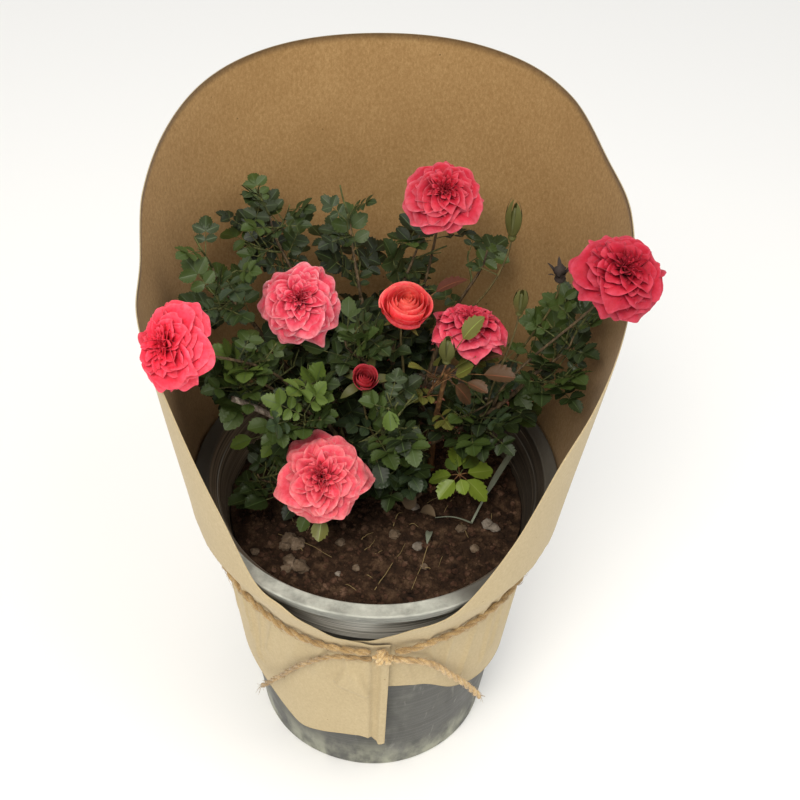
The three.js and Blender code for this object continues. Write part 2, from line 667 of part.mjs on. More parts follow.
// The twigs of a mass: each leaves the stem a golden turn on from the last one, and the last runs on upwards.
function massTwigs(mass, frame, stem, random) {
  const [out, across] = frame.axes;
  const twigs = [];
  for (let k = 0; k < TWIG.count; k += 1) {
    const last = k === TWIG.count - 1;
    const part = (k + 0.6) / (TWIG.count - 0.4);
    const at = part * (stem.length - 1);
    const i = Math.min(Math.floor(at), stem.length - 2);
    const base = stem[i].clone().lerp(stem[i + 1], at - i);
    const turn = TWIG.goldenTurn * k + 0.7 * random();
    const way = out.clone().multiplyScalar(Math.cos(turn)).addScaledVector(across, Math.sin(turn))
      .addScaledVector(UP, last ? 2.4 : 0.1 + 0.7 * part).normalize();
    const length = TWIG.reach * mass.half[0] * (0.8 + 0.4 * random());
    twigs.push({ base, tip: base.clone().addScaledVector(way, length) });
  }
  return twigs;
}

// A mass: a stem that runs on from its cane's tip to the far side of its space, with leafy twigs round it.
function massGeometry(mass) {
  const random = stream(mass.seed);
  const frame = massFrame(mass);
  const cane = limbPlace(mass.name, 1);
  const [out, across] = frame.axes;
  const start = cane.point.clone().addScaledVector(cane.along, CLEAR);
  const end = frame.middle.clone().addScaledVector(out, 0.16 * mass.half[0])
    .addScaledVector(across, (random() - 0.5) * 0.32 * mass.half[1])
    .addScaledVector(UP, 0.25 * mass.half[2]);
  const whole = curvePoints(start, cane.along, end, UP, STEM.steps);
  const meets = (point, k) => k > 1 && !missesLimbs(whole[k - 1], point, STEM.clear, mass.name);
  const blocked = whole.findIndex(meets);
  const stem = blocked < 0 ? whole : whole.slice(0, blocked);
  const pieces = [limbGeometry(stem, cane.radius, STEM.tipRadius, STEM.sides)];
  const leaves = [];
  for (const { base, tip } of massTwigs(mass, frame, stem, random)) {
    const fits = inSpace(mass, frame, tip) && missesLimbs(base, tip, TWIG.clear, mass.name);
    if (fits) pieces.push(twigGeometry(base, tip));
    const used = fits ? tip : base.clone().lerp(tip, 0.12);
    leavesOn(mass, frame, base, used, fits ? TWIG.leaves : 1, random, leaves);
  }
  pieces.push(...leaves.map((points) => indexed(points, LEAF_FACES)));
  return fused(pieces);
}

// The woody foot that the canes leave, a short tapering stem on the soil.
function footGeometry() {
  const rows = [];
  for (const part of [0, 1]) {
    const z = lerp(SOIL.top + CLEAR, FOOT.top, part);
    const radius = lerp(FOOT.bottomRadius, FOOT.topRadius, part);
    const row = [];
    for (let i = 0; i < FOOT.sides; i += 1) {
      const bearing = (-360 * i) / FOOT.sides;
      row.push(vec(FOOT.x, FOOT.y, z).add(onBearing(bearing, radius, 0)));
    }
    rows.push(row);
  }
  return loftRows(rows);
}

// The twine's path over the outermost sheet. It lies in the paper's waist, clear of the slope above it.
function twinePoint(bearing) {
  const front = bearing > 0 ? smooth(bearing, 156, 168) * PAPER.lap : 0;
  const surface = paperRadius(bearing, waistZ(bearing)) + PAPER.thickness + front;
  const slope = (PAPER.rimRadius - PAPER.waistRadius) / (PAPER.rimZ - waistZ(bearing));
  const off = (TWINE.radius + CLEAR) * Math.hypot(1, slope) + 0.1;
  return onBearing(bearing, surface + off, waistZ(bearing));
}

function loopGeometry() {
  const first = KNOT.bearing - KNOT.halfTurn;
  const last = KNOT.bearing + KNOT.halfTurn - 360;
  const points = [];
  for (let k = 0; k <= TWINE.steps; k += 1) {
    points.push(twinePoint(lerp(first, last, k / TWINE.steps)));
  }
  return limbGeometry(points, TWINE.radius, TWINE.radius, TWINE.sides);
}

function knotMiddle() {
  const surface = paperRadius(-180, KNOT.z) + PAPER.thickness;
  return onBearing(KNOT.bearing, surface + 2 * CLEAR + KNOT.depth / 2, KNOT.z);
}

function knotGeometry() {
  const geometry = new THREE.SphereGeometry(0.5, 8, 6).scale(KNOT.width, KNOT.depth, KNOT.height);
  geometry.rotateZ(radians(180 - KNOT.bearing));
  return geometry.translate(...knotMiddle());
}

function tailGeometry(tail) {
  const points = tail.bearings.map((bearing, k) => {
    const unrolled = bearing > 180 ? bearing - 360 : bearing;
    const lapped = unrolled > 0 ? PAPER.lap : 0;
    const surface = paperRadius(unrolled, tail.heights[k]) + PAPER.thickness + lapped;
    return onBearing(bearing, surface + TWINE.radius + tail.off[k] / 2, tail.heights[k]);
  });
  const curve = new THREE.CatmullRomCurve3(points);
  return limbGeometry(curve.getPoints(9), TWINE.radius * 0.9, TWINE.radius * 0.75, TWINE.sides);
}

// Materials and named meshes.
const bush = new THREE.Group();
const materials = new Map();

function add(name, geometry, look) {
  if (!materials.has(look)) {
    materials.set(look, new THREE.MeshStandardMaterial({ ...LOOK[look], metalness: 0 }));
  }
  const mesh = new THREE.Mesh(geometry, materials.get(look));
  mesh.name = name;
  bush.add(mesh);
}

add("pot", potGeometry(), "pot");
add("soil", soilGeometry(), "soil");
add("paper_wrap", paperGeometry(), "paper");
add("twine_loop", loopGeometry(), "twine");
add("twine_knot", knotGeometry(), "twine");
for (const [side, tail] of Object.entries(TAILS)) add("twine_tail_" + side, tailGeometry(tail), "twine");

growCanes();
add("stem_foot", footGeometry(), "bark");
for (const [name, limb] of limbs) {
  const look = name === "red" ? "redBark" : "bark";
  add("cane_" + name, limbGeometry(limb.points, limb.rootRadius, limb.tipRadius, CANE.sides), look);
}
for (const flower of FLOWERS) add("flower_" + flower.name, flowerGeometry(flower), "petal");
add("flower_" + GOBLET.name, gobletGeometry(GOBLET), "salmonPetal");
for (const bud of BUDS) add("bud_" + bud.name, budGeometry(bud), "bud");
for (const mass of MASSES) {
  const look = ["young_shoot", "red"].includes(mass.name) ? "youngLeaf" : "leaf";
  add("leaves_" + mass.name, massGeometry(mass), look);
}

export default bush;
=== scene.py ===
import math

import bpy
import numpy as np
from mathutils import Matrix, Vector, noise


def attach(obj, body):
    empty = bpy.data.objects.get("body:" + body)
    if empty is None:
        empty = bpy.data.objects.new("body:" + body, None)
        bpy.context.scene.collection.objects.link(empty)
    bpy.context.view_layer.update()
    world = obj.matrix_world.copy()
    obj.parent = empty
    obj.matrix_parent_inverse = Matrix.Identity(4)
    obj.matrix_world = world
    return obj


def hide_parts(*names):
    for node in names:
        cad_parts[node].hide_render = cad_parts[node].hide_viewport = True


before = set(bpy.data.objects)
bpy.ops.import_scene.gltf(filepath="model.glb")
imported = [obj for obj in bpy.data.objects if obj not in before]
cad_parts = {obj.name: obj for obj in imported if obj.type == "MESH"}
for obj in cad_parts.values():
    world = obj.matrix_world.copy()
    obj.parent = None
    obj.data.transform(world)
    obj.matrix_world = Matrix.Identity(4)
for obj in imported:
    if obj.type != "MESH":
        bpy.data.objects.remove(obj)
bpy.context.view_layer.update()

MM = 0.001
CLEAR = 0.3

# Driving dimensions, as in the solids.
POT = {
    "height": 206, "base": 77.5, "floor": 4, "wall": 2.2, "shoulder": 93, "shoulder_z": 178,
    "neck": 97.5, "neck_z": 196, "rim": 110, "rim_depth": 6.5, "mouth": 101,
}
SOIL = {"top": 181, "edge_top": 178, "lumps": 1.5}
PAPER = {
    "thickness": 1, "hem_z": 60, "hem": 87, "waist": 97.5, "rim": 110.7, "rim_z": 197, "flare": 0.11,
    "lap": 1.9, "left_end": -187, "right_end": 190, "lap_fades": (-162, -136), "twine_climbs": (156, 168),
}
PAPER_TOP = [
    (-187, 168), (-180, 171), (-168, 180), (-156, 202), (-146, 213), (-137, 262), (-121, 326), (-104, 341),
    (-88, 348), (-77, 376), (-54, 406), (-31, 418), (0, 421), (31, 418), (47, 409), (62, 389), (78, 378),
    (92, 358), (116, 313), (129, 292), (140, 245), (154, 203), (169, 188), (180, 173), (190, 166),
]
PAPER_HEM = [
    (-187, 47.5), (-184, 48), (-180, 57), (-171, 55), (-160, 49.5), (-150, 44.5), (-143, 51), (-135, 61),
    (-128, 68), (-118, 72), (-90, 72), (0, 68), (90, 70), (125, 78), (145, 92), (160, 112), (190, 118),
]
TWINE = {"radius": 2.1, "mid_z": 181, "slope": 0.12, "droop": 0.06, "turn": 30}
KNOT = {"bearing": 175.5, "z": 163, "width": 13, "height": 10, "depth": 9}
# The twine's tails, from the knot to their ends: bearing, height and how far they stand off the paper.
TAILS = {
    "left": [(178.9, 160, 2.5), (192, 155.5, 1.5), (204, 132, 1), (214.5, 103, 2), (224, 78, 5.5)],
    "right": [(172.6, 160, 2.5), (160, 145, 0.5), (151, 123, 1), (143.5, 103, 3), (136, 79, 6)],
}
FOOT = {"x": 2, "y": 18, "bottom": 9, "top_radius": 6.5, "top": 207}
CANE = {
    "steps": 5,
    "high": {"root": 2.1, "tip": 1.2, "below": 4, "rise": 1.3},
    "mid": {"root": 2.1, "tip": 1.2, "below": 10, "rise": 1.1},
    "low": {"root": 1.6, "tip": 1, "below": 17, "rise": 0.5},
    "middle": {"root": 2.1, "tip": 1.2},
    "bough": {"root": 1.5, "tip": 1},
}
TWIG = {"radius": 0.9, "tip": 0.7, "count": 6, "golden": 2.4, "reach": 0.5, "leaves": 5}
LEAF = {"length": 25, "spacing": 4, "tries": [1, 0.82, 0.66]}

# Each mass of leaves: its kind of cane, the bearing and reach of its middle from the foot, the height of that
# middle, its half sizes outwards, across and upwards, and the seed of its stream.
MASS_ROWS = [
    ("left_top", "high", -86, 90, 322, (40, 44, 43), 11),
    ("left_middle", "bough", -105, 76, 284, (40, 39, 36), 12),
    ("back_left", "mid", -60, 74, 334, (38, 38, 43), 13),
    ("back_middle", "high", -30, 46, 328, (40, 38, 41), 14),
    ("back_right", "mid", 18, 34, 330, (38, 36, 41), 15),
    ("front_left", "mid", -128, 56, 272, (42, 40, 38), 16),
    ("centre", "middle", -100, 18, 292, (38, 40, 41), 17),
    ("front", "mid", 178, 44, 272, (38, 42, 34), 18),
    ("front_low", "low", 150, 27, 224, (38, 46, 26), 19),
    ("right_back", "high", 60, 60, 322, (40, 40, 41), 20),
    ("right", "mid", 98, 98, 302, (40, 40, 40), 21),
    ("right_middle", "bough", 104, 60, 262, (40, 38, 36), 22),
    ("back_low", "low", 0, 44, 256, (38, 60, 38), 23),
    ("young_shoot", "low", 128, 54, 213, (29, 26, 18), 24),
    ("low_left", "low", -114, 74, 208, (33, 30, 18), 25),
    ("red", "fresh", 122, 52, 306, (30, 34, 27), 26),
]
MASS_KEYS = ("name", "kind", "bearing", "reach", "z", "half", "seed")
MASSES = [dict(zip(MASS_KEYS, row)) for row in MASS_ROWS]
BOUGH_STARTS = {"left_middle": ("left_top", 0.5), "right_middle": ("right", 0.45)}

# Each flower or bud: its middle, its width, the way it faces, the cane that it leaves, and how far up.
HEAD_KEYS = ("name", "at", "width", "face", "on", "from")
FLOWERS = [dict(zip(HEAD_KEYS, row)) for row in (
    ("left", (-101.5, -58, 348), 44, (-0.4, -0.6, 0.7), "left_middle", 0.5),
    ("upper_left", (-45.5, 15, 321), 46, (0, -0.6, 0.8), "front_left", 0.6),
    ("top", (30.8, 42, 375), 43, (0.05, -0.5, 0.86), "back_right", 0.7),
    ("right", (118, -23, 374.5), 48, (0.2, -0.4, 0.9), "right", 0.75),
    ("front", (-29, -48, 248), 50, (-0.05, -0.62, 0.78), "front", 0.45),
    ("inner", (48, 10, 308.5), 42, (0.05, 0, 1), "right_back", 0.55),
)]
GOBLET = dict(zip(HEAD_KEYS, ("half_open", (13, 10, 323), 29, (0.16, -0.2, 0.97), "centre", 0.6)))
BUDS = [dict(zip(HEAD_KEYS, row)) for row in (
    ("tall", (69, 36, 360), 9.5, (0, 0, 1), "right_back", 0.97),
    ("green", (72.5, -8, 341), 9, (0, -0.1, 1), "right", 0.7),
    ("front", (36, -16, 313), 8, (0, 0, 1), "red", 0.72),
    ("low_red", (-8, -10, 288), 15, (0.1, -0.5, 0.85), "front", 0.62),
    ("spent", (94, 12, 350), 12, (-0.1, 0, 1), "right", 0.85),
)]
RED_CANE = {"root": (33, 26), "tip": (37, -6, 292), "root_radius": 2.2, "tip_radius": 1.3}
STUB = {"on": "left_top", "from": 0.12, "tip": (-79, -26, 284), "root_radius": 1.9, "tip_radius": 1.6}

# The seeds of what is drawn by lot. Where several pieces are made in turn, their numbers are added.
SEEDS = {
    "bloom": 41, "calyx": 61, "stamens": 81, "half_open": 51, "half_open_calyx": 71, "low_red": 55,
    "low_red_calyx": 75, "bud": 90, "cane": 100, "foot": 5, "crumbs": 7, "clods": 3, "pebbles": 4,
    "straws": 19, "fine_twigs": 100, "lone_leaves": 300, "spray": 301, "loop": 5, "tail": 8, "knot": 21,
    "knot_across": 31,
}

UP = np.array([0.0, 0.0, 1.0])
FRONT = np.array([0.0, -1.0, 0.0])


# Small tools for numbers and points.
def point(*parts):
    return np.array(parts, float)


def unit(way):
    return way / math.sqrt(way @ way)


def square_to(way, side):
    """The part of a side direction that stands square to a way, of length one."""
    return unit(side - way * (side @ way))


def lerp(low, high, part):
    return low + (high - low) * part


def place_on(points, part):
    """The place at a part of a path's run, and the number of the piece that it lies on."""
    at = part * (len(points) - 1)
    i = min(int(at), len(points) - 2)
    return lerp(points[i], points[i + 1], at - i), i


def smooth(value, low, high):
    part = np.clip((value - low) / (high - low), 0, 1)
    return part * part * (3 - 2 * part)


def on_bearing(bearing, radius, z):
    turn = math.radians(bearing)
    return point(radius * math.sin(turn), radius * math.cos(turn), z)


def stream(seed):
    """A seeded stream of numbers from 0 to 1."""
    state = seed * 7919 + 17

    def draw():
        nonlocal state
        state = (state * 16807) % 2147483647
        return state / 2147483647

    return draw


def any_turn(draw):
    """An angle drawn from a whole turn."""
    return 6.28 * draw()


def through(points, x):
    """Heights at x, an array, on a smooth curve through the given points."""
    xs, zs = np.array(points, float).T
    after = np.minimum(np.arange(len(xs)) + 1, len(xs) - 1)
    before = np.maximum(np.arange(len(xs)) - 1, 0)
    slopes = (zs[after] - zs[before]) / (xs[after] - xs[before])
    i = np.clip(np.searchsorted(xs, x) - 1, 0, len(xs) - 2)
    span = xs[i + 1] - xs[i]
    t = np.clip((x - xs[i]) / span, 0, 1)
    return ((2 * t**3 - 3 * t**2 + 1) * zs[i] + (t**3 - 2 * t**2 + t) * span * slopes[i]
            + (3 * t**2 - 2 * t**3) * zs[i + 1] + (t**3 - t**2) * span * slopes[i + 1])


def bezier(corners, t):
    """Points on a cubic curve at the parts t of its run."""
    t = np.asarray(t, float)[:, None]
    a, b, c, d = corners
    return (1 - t)**3 * a + 3 * t * (1 - t)**2 * b + 3 * t**2 * (1 - t) * c + t**3 * d


def curve_corners(start, start_way, end, end_way):
    """The corners of a cubic curve that leaves its start and meets its end along the given ways."""
    reach = np.linalg.norm(end - start)
    return np.array([start, start + 0.36 * reach * start_way, end - 0.36 * reach * end_way, end])


# Meshes.
def link_object(name, data):
    made = bpy.data.objects.new(name, data)
    bpy.context.scene.collection.objects.link(made)
    return made


class Shape:
    """Points and faces gathered for one mesh, with a material index for each face."""

    def __init__(self):
        self.points = []
        self.faces = []
        self.looks = []
        self.tints = []
        self.count = 0

    def add(self, points, faces, look=0, tint=None):
        points = np.asarray(points, float)
        self.points.append(points)
        self.faces.extend(tuple(int(i) + self.count for i in face) for face in faces)
        self.looks.extend([look] * len(faces) if np.isscalar(look) else list(look))
        if tint is not None:
            self.tints.append(np.broadcast_to(np.asarray(tint, float), (len(points), 3)))
        self.count += len(points)


def make_piece(name, shape, materials, replaced=(), flat=False):
    """An object from a shape in millimetres, riding on the body and standing for the named solids."""
    mesh = bpy.data.meshes.new(name)
    points = np.concatenate(shape.points) * MM
    mesh.from_pydata(points.tolist(), [], shape.faces)
    for material in materials:
        mesh.materials.append(material)
    mesh.polygons.foreach_set("material_index", np.array(shape.looks, np.int32))
    mesh.polygons.foreach_set("use_smooth", np.full(len(shape.faces), not flat))
    if shape.tints:
        tints = np.concatenate(shape.tints)
        tints = np.hstack([tints, np.ones((len(tints), 1))])
        layer = mesh.color_attributes.new("tint", "FLOAT_COLOR", "POINT")
        layer.data.foreach_set("color", tints.astype(np.float32).ravel())
    mesh.update()
    piece = link_object(name, mesh)
    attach(piece, "root")
    if replaced:
        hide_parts(*replaced)


def grid_faces(rows, columns, closed=False, start=0):
    """Quads over rows of points. Closed rows meet their own start."""
    faces = []
    for j in range(rows - 1):
        for i in range(columns if closed else columns - 1):
            a = start + j * columns + i
            b = start + j * columns + (i + 1) % columns
            faces.append((a, b, b + columns, a + columns))
    return faces


def closed_faces(rows, sides):
    """Faces of rows that meet their own start, closed by two fans on the two points that follow the rows."""
    faces = grid_faces(rows, sides, closed=True)
    first, top = rows * sides, (rows - 1) * sides
    for i in range(sides):
        after = (i + 1) % sides
        faces.append((first, after, i))
        faces.append((first + 1, top + i, top + after))
    return faces


def frames_along(points):
    """The way of a path at each point and two directions across it, turning no more than they must."""
    ways = np.gradient(points, axis=0)
    ways /= np.linalg.norm(ways, axis=1)[:, None]
    sides = np.zeros_like(ways)
    side = np.cross(point(0.31, 0.87, 0.2), ways[0])
    for k, way in enumerate(ways):
        side = side - way * (side @ way)
        side = side / np.linalg.norm(side)
        sides[k] = side
    return ways, sides, np.cross(ways, sides)


def tube(points, radii, sides, relief=None):
    """A closed tube round a path. Relief is an array of rows by sides that scales the radius."""
    _, side, other = frames_along(points)
    turns = np.arange(sides) * 2 * math.pi / sides
    radii = np.broadcast_to(radii, (len(points),))[:, None] * (1 if relief is None else relief)
    ring = (side[:, None] * np.cos(turns)[None, :, None] + other[:, None] * np.sin(turns)[None, :, None])
    rows = points[:, None] + ring * (radii * np.ones((1, sides)))[:, :, None]
    return np.concatenate([rows.reshape(-1, 3), points[:1], points[-1:]]), closed_faces(len(points), sides)


def turned(profile, segments):
    """Rows of a round body about Z from a profile of radius and height."""
    turns = np.arange(segments) * 2 * math.pi / segments
    profile = np.asarray(profile, float)
    return np.stack([
        profile[:, 0, None] * np.cos(turns), profile[:, 0, None] * np.sin(turns),
        np.broadcast_to(profile[:, 1, None], (len(profile), segments)),
    ], axis=-1)


def rough(points, scale, octaves=3):
    """Smooth noise from about -1 to 1 at each point."""
    places = (np.asarray(points, float) * scale).tolist()
    return np.array([noise.fractal(place, 1.0, 2.0, octaves) for place in places])


# Materials.
def rgb(code):
    """A colour written as in a style sheet, in the linear values that shaders take."""
    parts = [int(code[i:i + 2], 16) / 255 for i in (1, 3, 5)]
    return tuple(p / 12.92 if p <= 0.04045 else ((p + 0.055) / 1.055) ** 2.4 for p in parts)


def add_node(tree, kind, settings=None, **inputs):
    """A shader node with its inputs set or linked. An input is named, or numbered as in i0."""
    made = tree.nodes.new(kind)
    for key, value in (settings or {}).items():
        setattr(made, key, value)
    for key, value in inputs.items():
        socket = made.inputs[int(key[1:])] if key[0] == "i" and key[1:].isdigit() else made.inputs[key]
        if isinstance(value, bpy.types.NodeSocket):
            tree.links.new(value, socket)
        else:
            socket.default_value = value
    return made


def shader_of(material):
    return material.node_tree.nodes["Principled BSDF"]


def plain(name, colour, roughness, **sockets):
    """A material whose shader's own sockets say it all."""
    material = bpy.data.materials.new(name)
    material.use_nodes = True
    shader = shader_of(material)
    shader.inputs["Base Color"].default_value = (*rgb(colour), 1)
    shader.inputs["Roughness"].default_value = roughness
    for key, value in sockets.items():
        shader.inputs[key.replace("_", " ")].default_value = value
    return material


def place_in(tree, scale=(1, 1, 1)):
    """Object coordinates in metres, stretched."""
    where = add_node(tree, "ShaderNodeTexCoord").outputs["Object"]
    return add_node(tree, "ShaderNodeMapping", Vector=where, Scale=scale).outputs["Vector"]


def noise_in(tree, where, scale, detail=4.0, roughness=0.55, distortion=0.0):
    made = add_node(tree, "ShaderNodeTexNoise", Vector=where, Scale=scale, Detail=detail,
                    Roughness=roughness, Distortion=distortion)
    return made.outputs["Fac"]


def ramp_in(tree, factor, stops):
    """Colours along a factor, from pairs of place and colour code."""
    made = add_node(tree, "ShaderNodeValToRGB", Fac=factor)
    ramp = made.color_ramp
    while len(ramp.elements) < len(stops):
        ramp.elements.new(0.5)
    for element, (at, code) in zip(ramp.elements, stops):
        element.position = at
        element.color = (*rgb(code), 1)
    return made.outputs["Color"]


def span_in(tree, factor, low, high, to_low=0.0, to_high=1.0):
    """A factor that runs smoothly from one value to another between two places."""
    made = add_node(tree, "ShaderNodeMapRange", {"interpolation_type": "SMOOTHSTEP"}, Value=factor)
    for key, value in (("From Min", low), ("From Max", high), ("To Min", to_low), ("To Max", to_high)):
        made.inputs[key].default_value = value
    return made.outputs["Result"]


def blend_in(tree, factor, first, second, kind="MIX"):
    """Two colours mixed by a factor."""
    made = add_node(tree, "ShaderNodeMix", {"data_type": "RGBA", "blend_type": kind})
    for socket, value in ((made.inputs[0], factor), (made.inputs[6], first), (made.inputs[7], second)):
        if isinstance(value, bpy.types.NodeSocket):
            tree.links.new(value, socket)
        elif isinstance(value, str):
            socket.default_value = (*rgb(value), 1)
        else:
            socket.default_value = value
    return made.outputs[2]


def bump_in(tree, height, strength, distance):
    made = add_node(tree, "ShaderNodeBump", Height=height, Strength=strength, Distance=distance)
    return made.outputs["Normal"]


def wire(material, **sockets):
    """Links outputs to the shader's sockets, named with _ for a space."""
    shader = shader_of(material)
    for key, output in sockets.items():
        material.node_tree.links.new(output, shader.inputs[key.replace("_", " ")])


# Where the pot's looks change, in metres: five spans of height, then one each of the distance from the axis,
# of that distance less the wall's lean, of x, and of how far back a place is. Above the neck span the outside
# takes a band painted paler as light, the span of x sets painted shade on the inside's right, and the span of
# how far back sets painted shade on the back of the rim.
POT_SPANS = {
    "foot": (0.004, 0.04), "neck": (0.1605, 0.162), "shoulder": (0.1745, 0.1765), "rim": (0.1985, 0.1995),
    "rim_top": (0.2044, 0.2056),
    "mouth": (0.1003, 0.1013), "inside": (0.0562, 0.057), "right": (0.064, 0.096), "back": (-0.092, -0.07),
}
WALL_LEAN = 0.2
# How the line of the rim's painted shade turns across x.
RIM_SHADE_TURN = 0.3


def multiply_add(tree, value, factor, more):
    made = add_node(tree, "ShaderNodeMath", {"operation": "MULTIPLY_ADD"}, i0=value, i1=factor, i2=more)
    return made.outputs["Value"]


def worn_plastic(tree, base, rings, height):
    """Dark plastic with blotches, moulded rings and pale streaks, dusty at its foot."""
    worn = ramp_in(tree, base, [(0.3, "#363632"), (0.5, "#4a4a46"), (0.62, "#5f5f5a"), (0.75, "#7c7c75")])
    blotches = noise_in(tree, place_in(tree, (1, 1, 0.35)), 42, 3, 0.55)
    worn = blend_in(tree, span_in(tree, blotches, 0.5, 0.66, 0, 0.6), worn, "#31312d")
    worn = blend_in(tree, span_in(tree, rings, 0.45, 0.8, 0, 0.35), worn, "#74746e")
    streaks = noise_in(tree, place_in(tree, (60, 60, 14)), 2.0, 5, 0.7, 0.6)
    worn = blend_in(tree, span_in(tree, streaks, 0.58, 0.72, 0, 0.55), worn, "#8e8e87")
    patches = noise_in(tree, place_in(tree, (1, 1, 0.5)), 60, 4, 0.6)
    dusty_foot = blend_in(tree, span_in(tree, patches, 0.35, 0.65), worn, "#a9aa96")
    return blend_in(tree, span_in(tree, height, *POT_SPANS["foot"], 0.8, 0.0), worn, dusty_foot)


def rim_dust_and_light(tree, worn, where, height):
    """The rim's side, half as pale as its top, whose pale grey is dust and painted sunlight and which is
    darker at the back with painted shade.
    """
    dust = noise_in(tree, place_in(tree, (1, 1, 6)), 110, 5, 0.65)
    # Dust and painted sunlight: the rim's pale grey in front.
    dust_and_sunlight = ramp_in(tree, dust, [(0.32, "#86877e"), (0.5, "#a0a196"), (0.7, "#b6b7ab")])
    towards_rim_shade = multiply_add(tree, where.outputs["X"], RIM_SHADE_TURN, where.outputs["Y"])
    # Painted shade: the rim turns dark towards its back.
    dust_and_sunlight = blend_in(tree, span_in(tree, towards_rim_shade, *POT_SPANS["back"]), dust_and_sunlight, "#514e47")
    side = blend_in(tree, 0.4, worn, dust_and_sunlight)
    return blend_in(tree, span_in(tree, height, *POT_SPANS["rim_top"]), side, dust_and_sunlight)


def earthy_wall_with_shade(tree, rings, where):
    """The inside of the wall, earthy, with painted shade darkening it at the right."""
    wall = ramp_in(tree, rings, [(0.36, "#4e4337"), (0.52, "#7e6f5c"), (0.64, "#93846f"), (0.72, "#b5a896")])
    # Painted shade: a darker copy of the wall's colours for its right side.
    shaded = ramp_in(tree, rings, [(0.36, "#26211b"), (0.6, "#463e34"), (0.7, "#837866")])
    return blend_in(tree, span_in(tree, where.outputs["X"], *POT_SPANS["right"]), wall, shaded)


def pot_material():
    """Moulded dark plastic: scuffed, with a neck band painted paler as light under the rim's shadow, an
    earthy inside with painted shade at its right, and a rim that is pale in front from dust and painted
    sunlight and darker at its back with painted shade.
    """
    material = plain("pot_plastic_worn", "#4b4b46", 0.55, Specular_IOR_Level=0.35)
    tree = material.node_tree
    where = add_node(tree, "ShaderNodeSeparateXYZ", Vector=place_in(tree))
    height = where.outputs["Z"]
    flat = add_node(tree, "ShaderNodeCombineXYZ", X=where.outputs["X"], Y=where.outputs["Y"])
    away = add_node(tree, "ShaderNodeVectorMath", {"operation": "LENGTH"}, i0=flat.outputs["Vector"])
    away = away.outputs["Value"]
    base = noise_in(tree, place_in(tree), 38, 6, 0.6)
    rings = noise_in(tree, place_in(tree, (9, 9, 900)), 1.0, 4)
    worn = worn_plastic(tree, base, rings, height)
    # Painted light: a band much paler than the plastic, standing against the shadow under the rim.
    painted_light_band = ramp_in(tree, rings, [(0.36, "#8c8c84"), (0.5, "#cfcfc5"), (0.64, "#f0f0e8")])
    neck = blend_in(tree, span_in(tree, height, *POT_SPANS["neck"]), worn, painted_light_band)
    wall = earthy_wall_with_shade(tree, rings, where)
    # The wall leans outwards, so what is inside it is told by the radius less a share of the height.
    inside = span_in(tree, multiply_add(tree, height, -WALL_LEAN, away), *POT_SPANS["inside"], 1.0, 0.0)
    upper = blend_in(tree, span_in(tree, away, *POT_SPANS["mouth"], 1.0, 0.0),
                     rim_dust_and_light(tree, worn, where, height), wall)
    lower = blend_in(tree, inside, neck, wall)
    above = blend_in(tree, span_in(tree, height, *POT_SPANS["rim"]), lower, upper)
    below = blend_in(tree, inside, neck, worn)
    wire(material, Base_Color=blend_in(tree, span_in(tree, height, *POT_SPANS["shoulder"]), below, above))
    wire(material, Roughness=span_in(tree, base, 0.3, 0.7, 0.42, 0.72))
    grain = noise_in(tree, place_in(tree), 900, 2)
    wire(material, Normal=bump_in(tree, blend_in(tree, 0.45, rings, grain), 0.4, 0.0004))
    return material


def soil_material(name, dark, mid, light):
    """Earth or stone, mottled in clumps."""
    material = plain(name, mid, 0.95, Specular_IOR_Level=0.2)
    tree = material.node_tree
    clumps = noise_in(tree, place_in(tree), 130, 8, 0.68)
    wire(material, Base_Color=ramp_in(tree, clumps, [(0.3, dark), (0.5, mid), (0.72, light)]))
    wire(material, Normal=bump_in(tree, noise_in(tree, place_in(tree), 420, 8, 0.7), 0.9, 0.0012))
    return material


def paper_material(name, dark, mid, light, fleck):
    """Kraft paper: cloudy pulp with fine fibres and a few dark flecks."""
    material = plain(name, mid, 0.82, Specular_IOR_Level=0.25, Sheen_Weight=0.08)
    tree = material.node_tree
    pulp = noise_in(tree, place_in(tree, (1, 1, 0.7)), 620, 6, 0.8)
    clouds = noise_in(tree, place_in(tree), 22, 3, 0.5)
    tone = blend_in(tree, 0.18, pulp, clouds)
    base = ramp_in(tree, tone, [(0.3, dark), (0.5, mid), (0.7, light)])
    fibres = add_node(tree, "ShaderNodeTexVoronoi", {"feature": "F1"}, Vector=place_in(tree, (1, 1, 0.35)),
                      Scale=620.0, Randomness=1.0).outputs["Distance"]
    base = blend_in(tree, span_in(tree, fibres, 0.0, 0.32, 0.3, 0.0), base, light)
    specks = noise_in(tree, place_in(tree), 330, 1, 0.4)
    base = blend_in(tree, span_in(tree, specks, 0.79, 0.83, 0.0, 0.75), base, fleck)
    wire(material, Base_Color=base)
    wire(material, Normal=bump_in(tree, blend_in(tree, 0.5, pulp, fibres), 0.22, 0.0005))
    return material


def twine_material(name, dark, mid, light):
    """Jute fibres, fuzzy and unevenly dark."""
    material = plain(name, mid, 0.9, Sheen_Weight=0.3, Sheen_Roughness=0.5)
    tree = material.node_tree
    strands = noise_in(tree, place_in(tree), 900, 4, 0.7, 1.5)
    patches = noise_in(tree, place_in(tree), 70, 3)
    tone = blend_in(tree, 0.35, strands, patches)
    wire(material, Base_Color=ramp_in(tree, tone, [(0.32, dark), (0.5, mid), (0.68, light)]))
    wire(material, Normal=bump_in(tree, strands, 0.8, 0.0006))
    return material


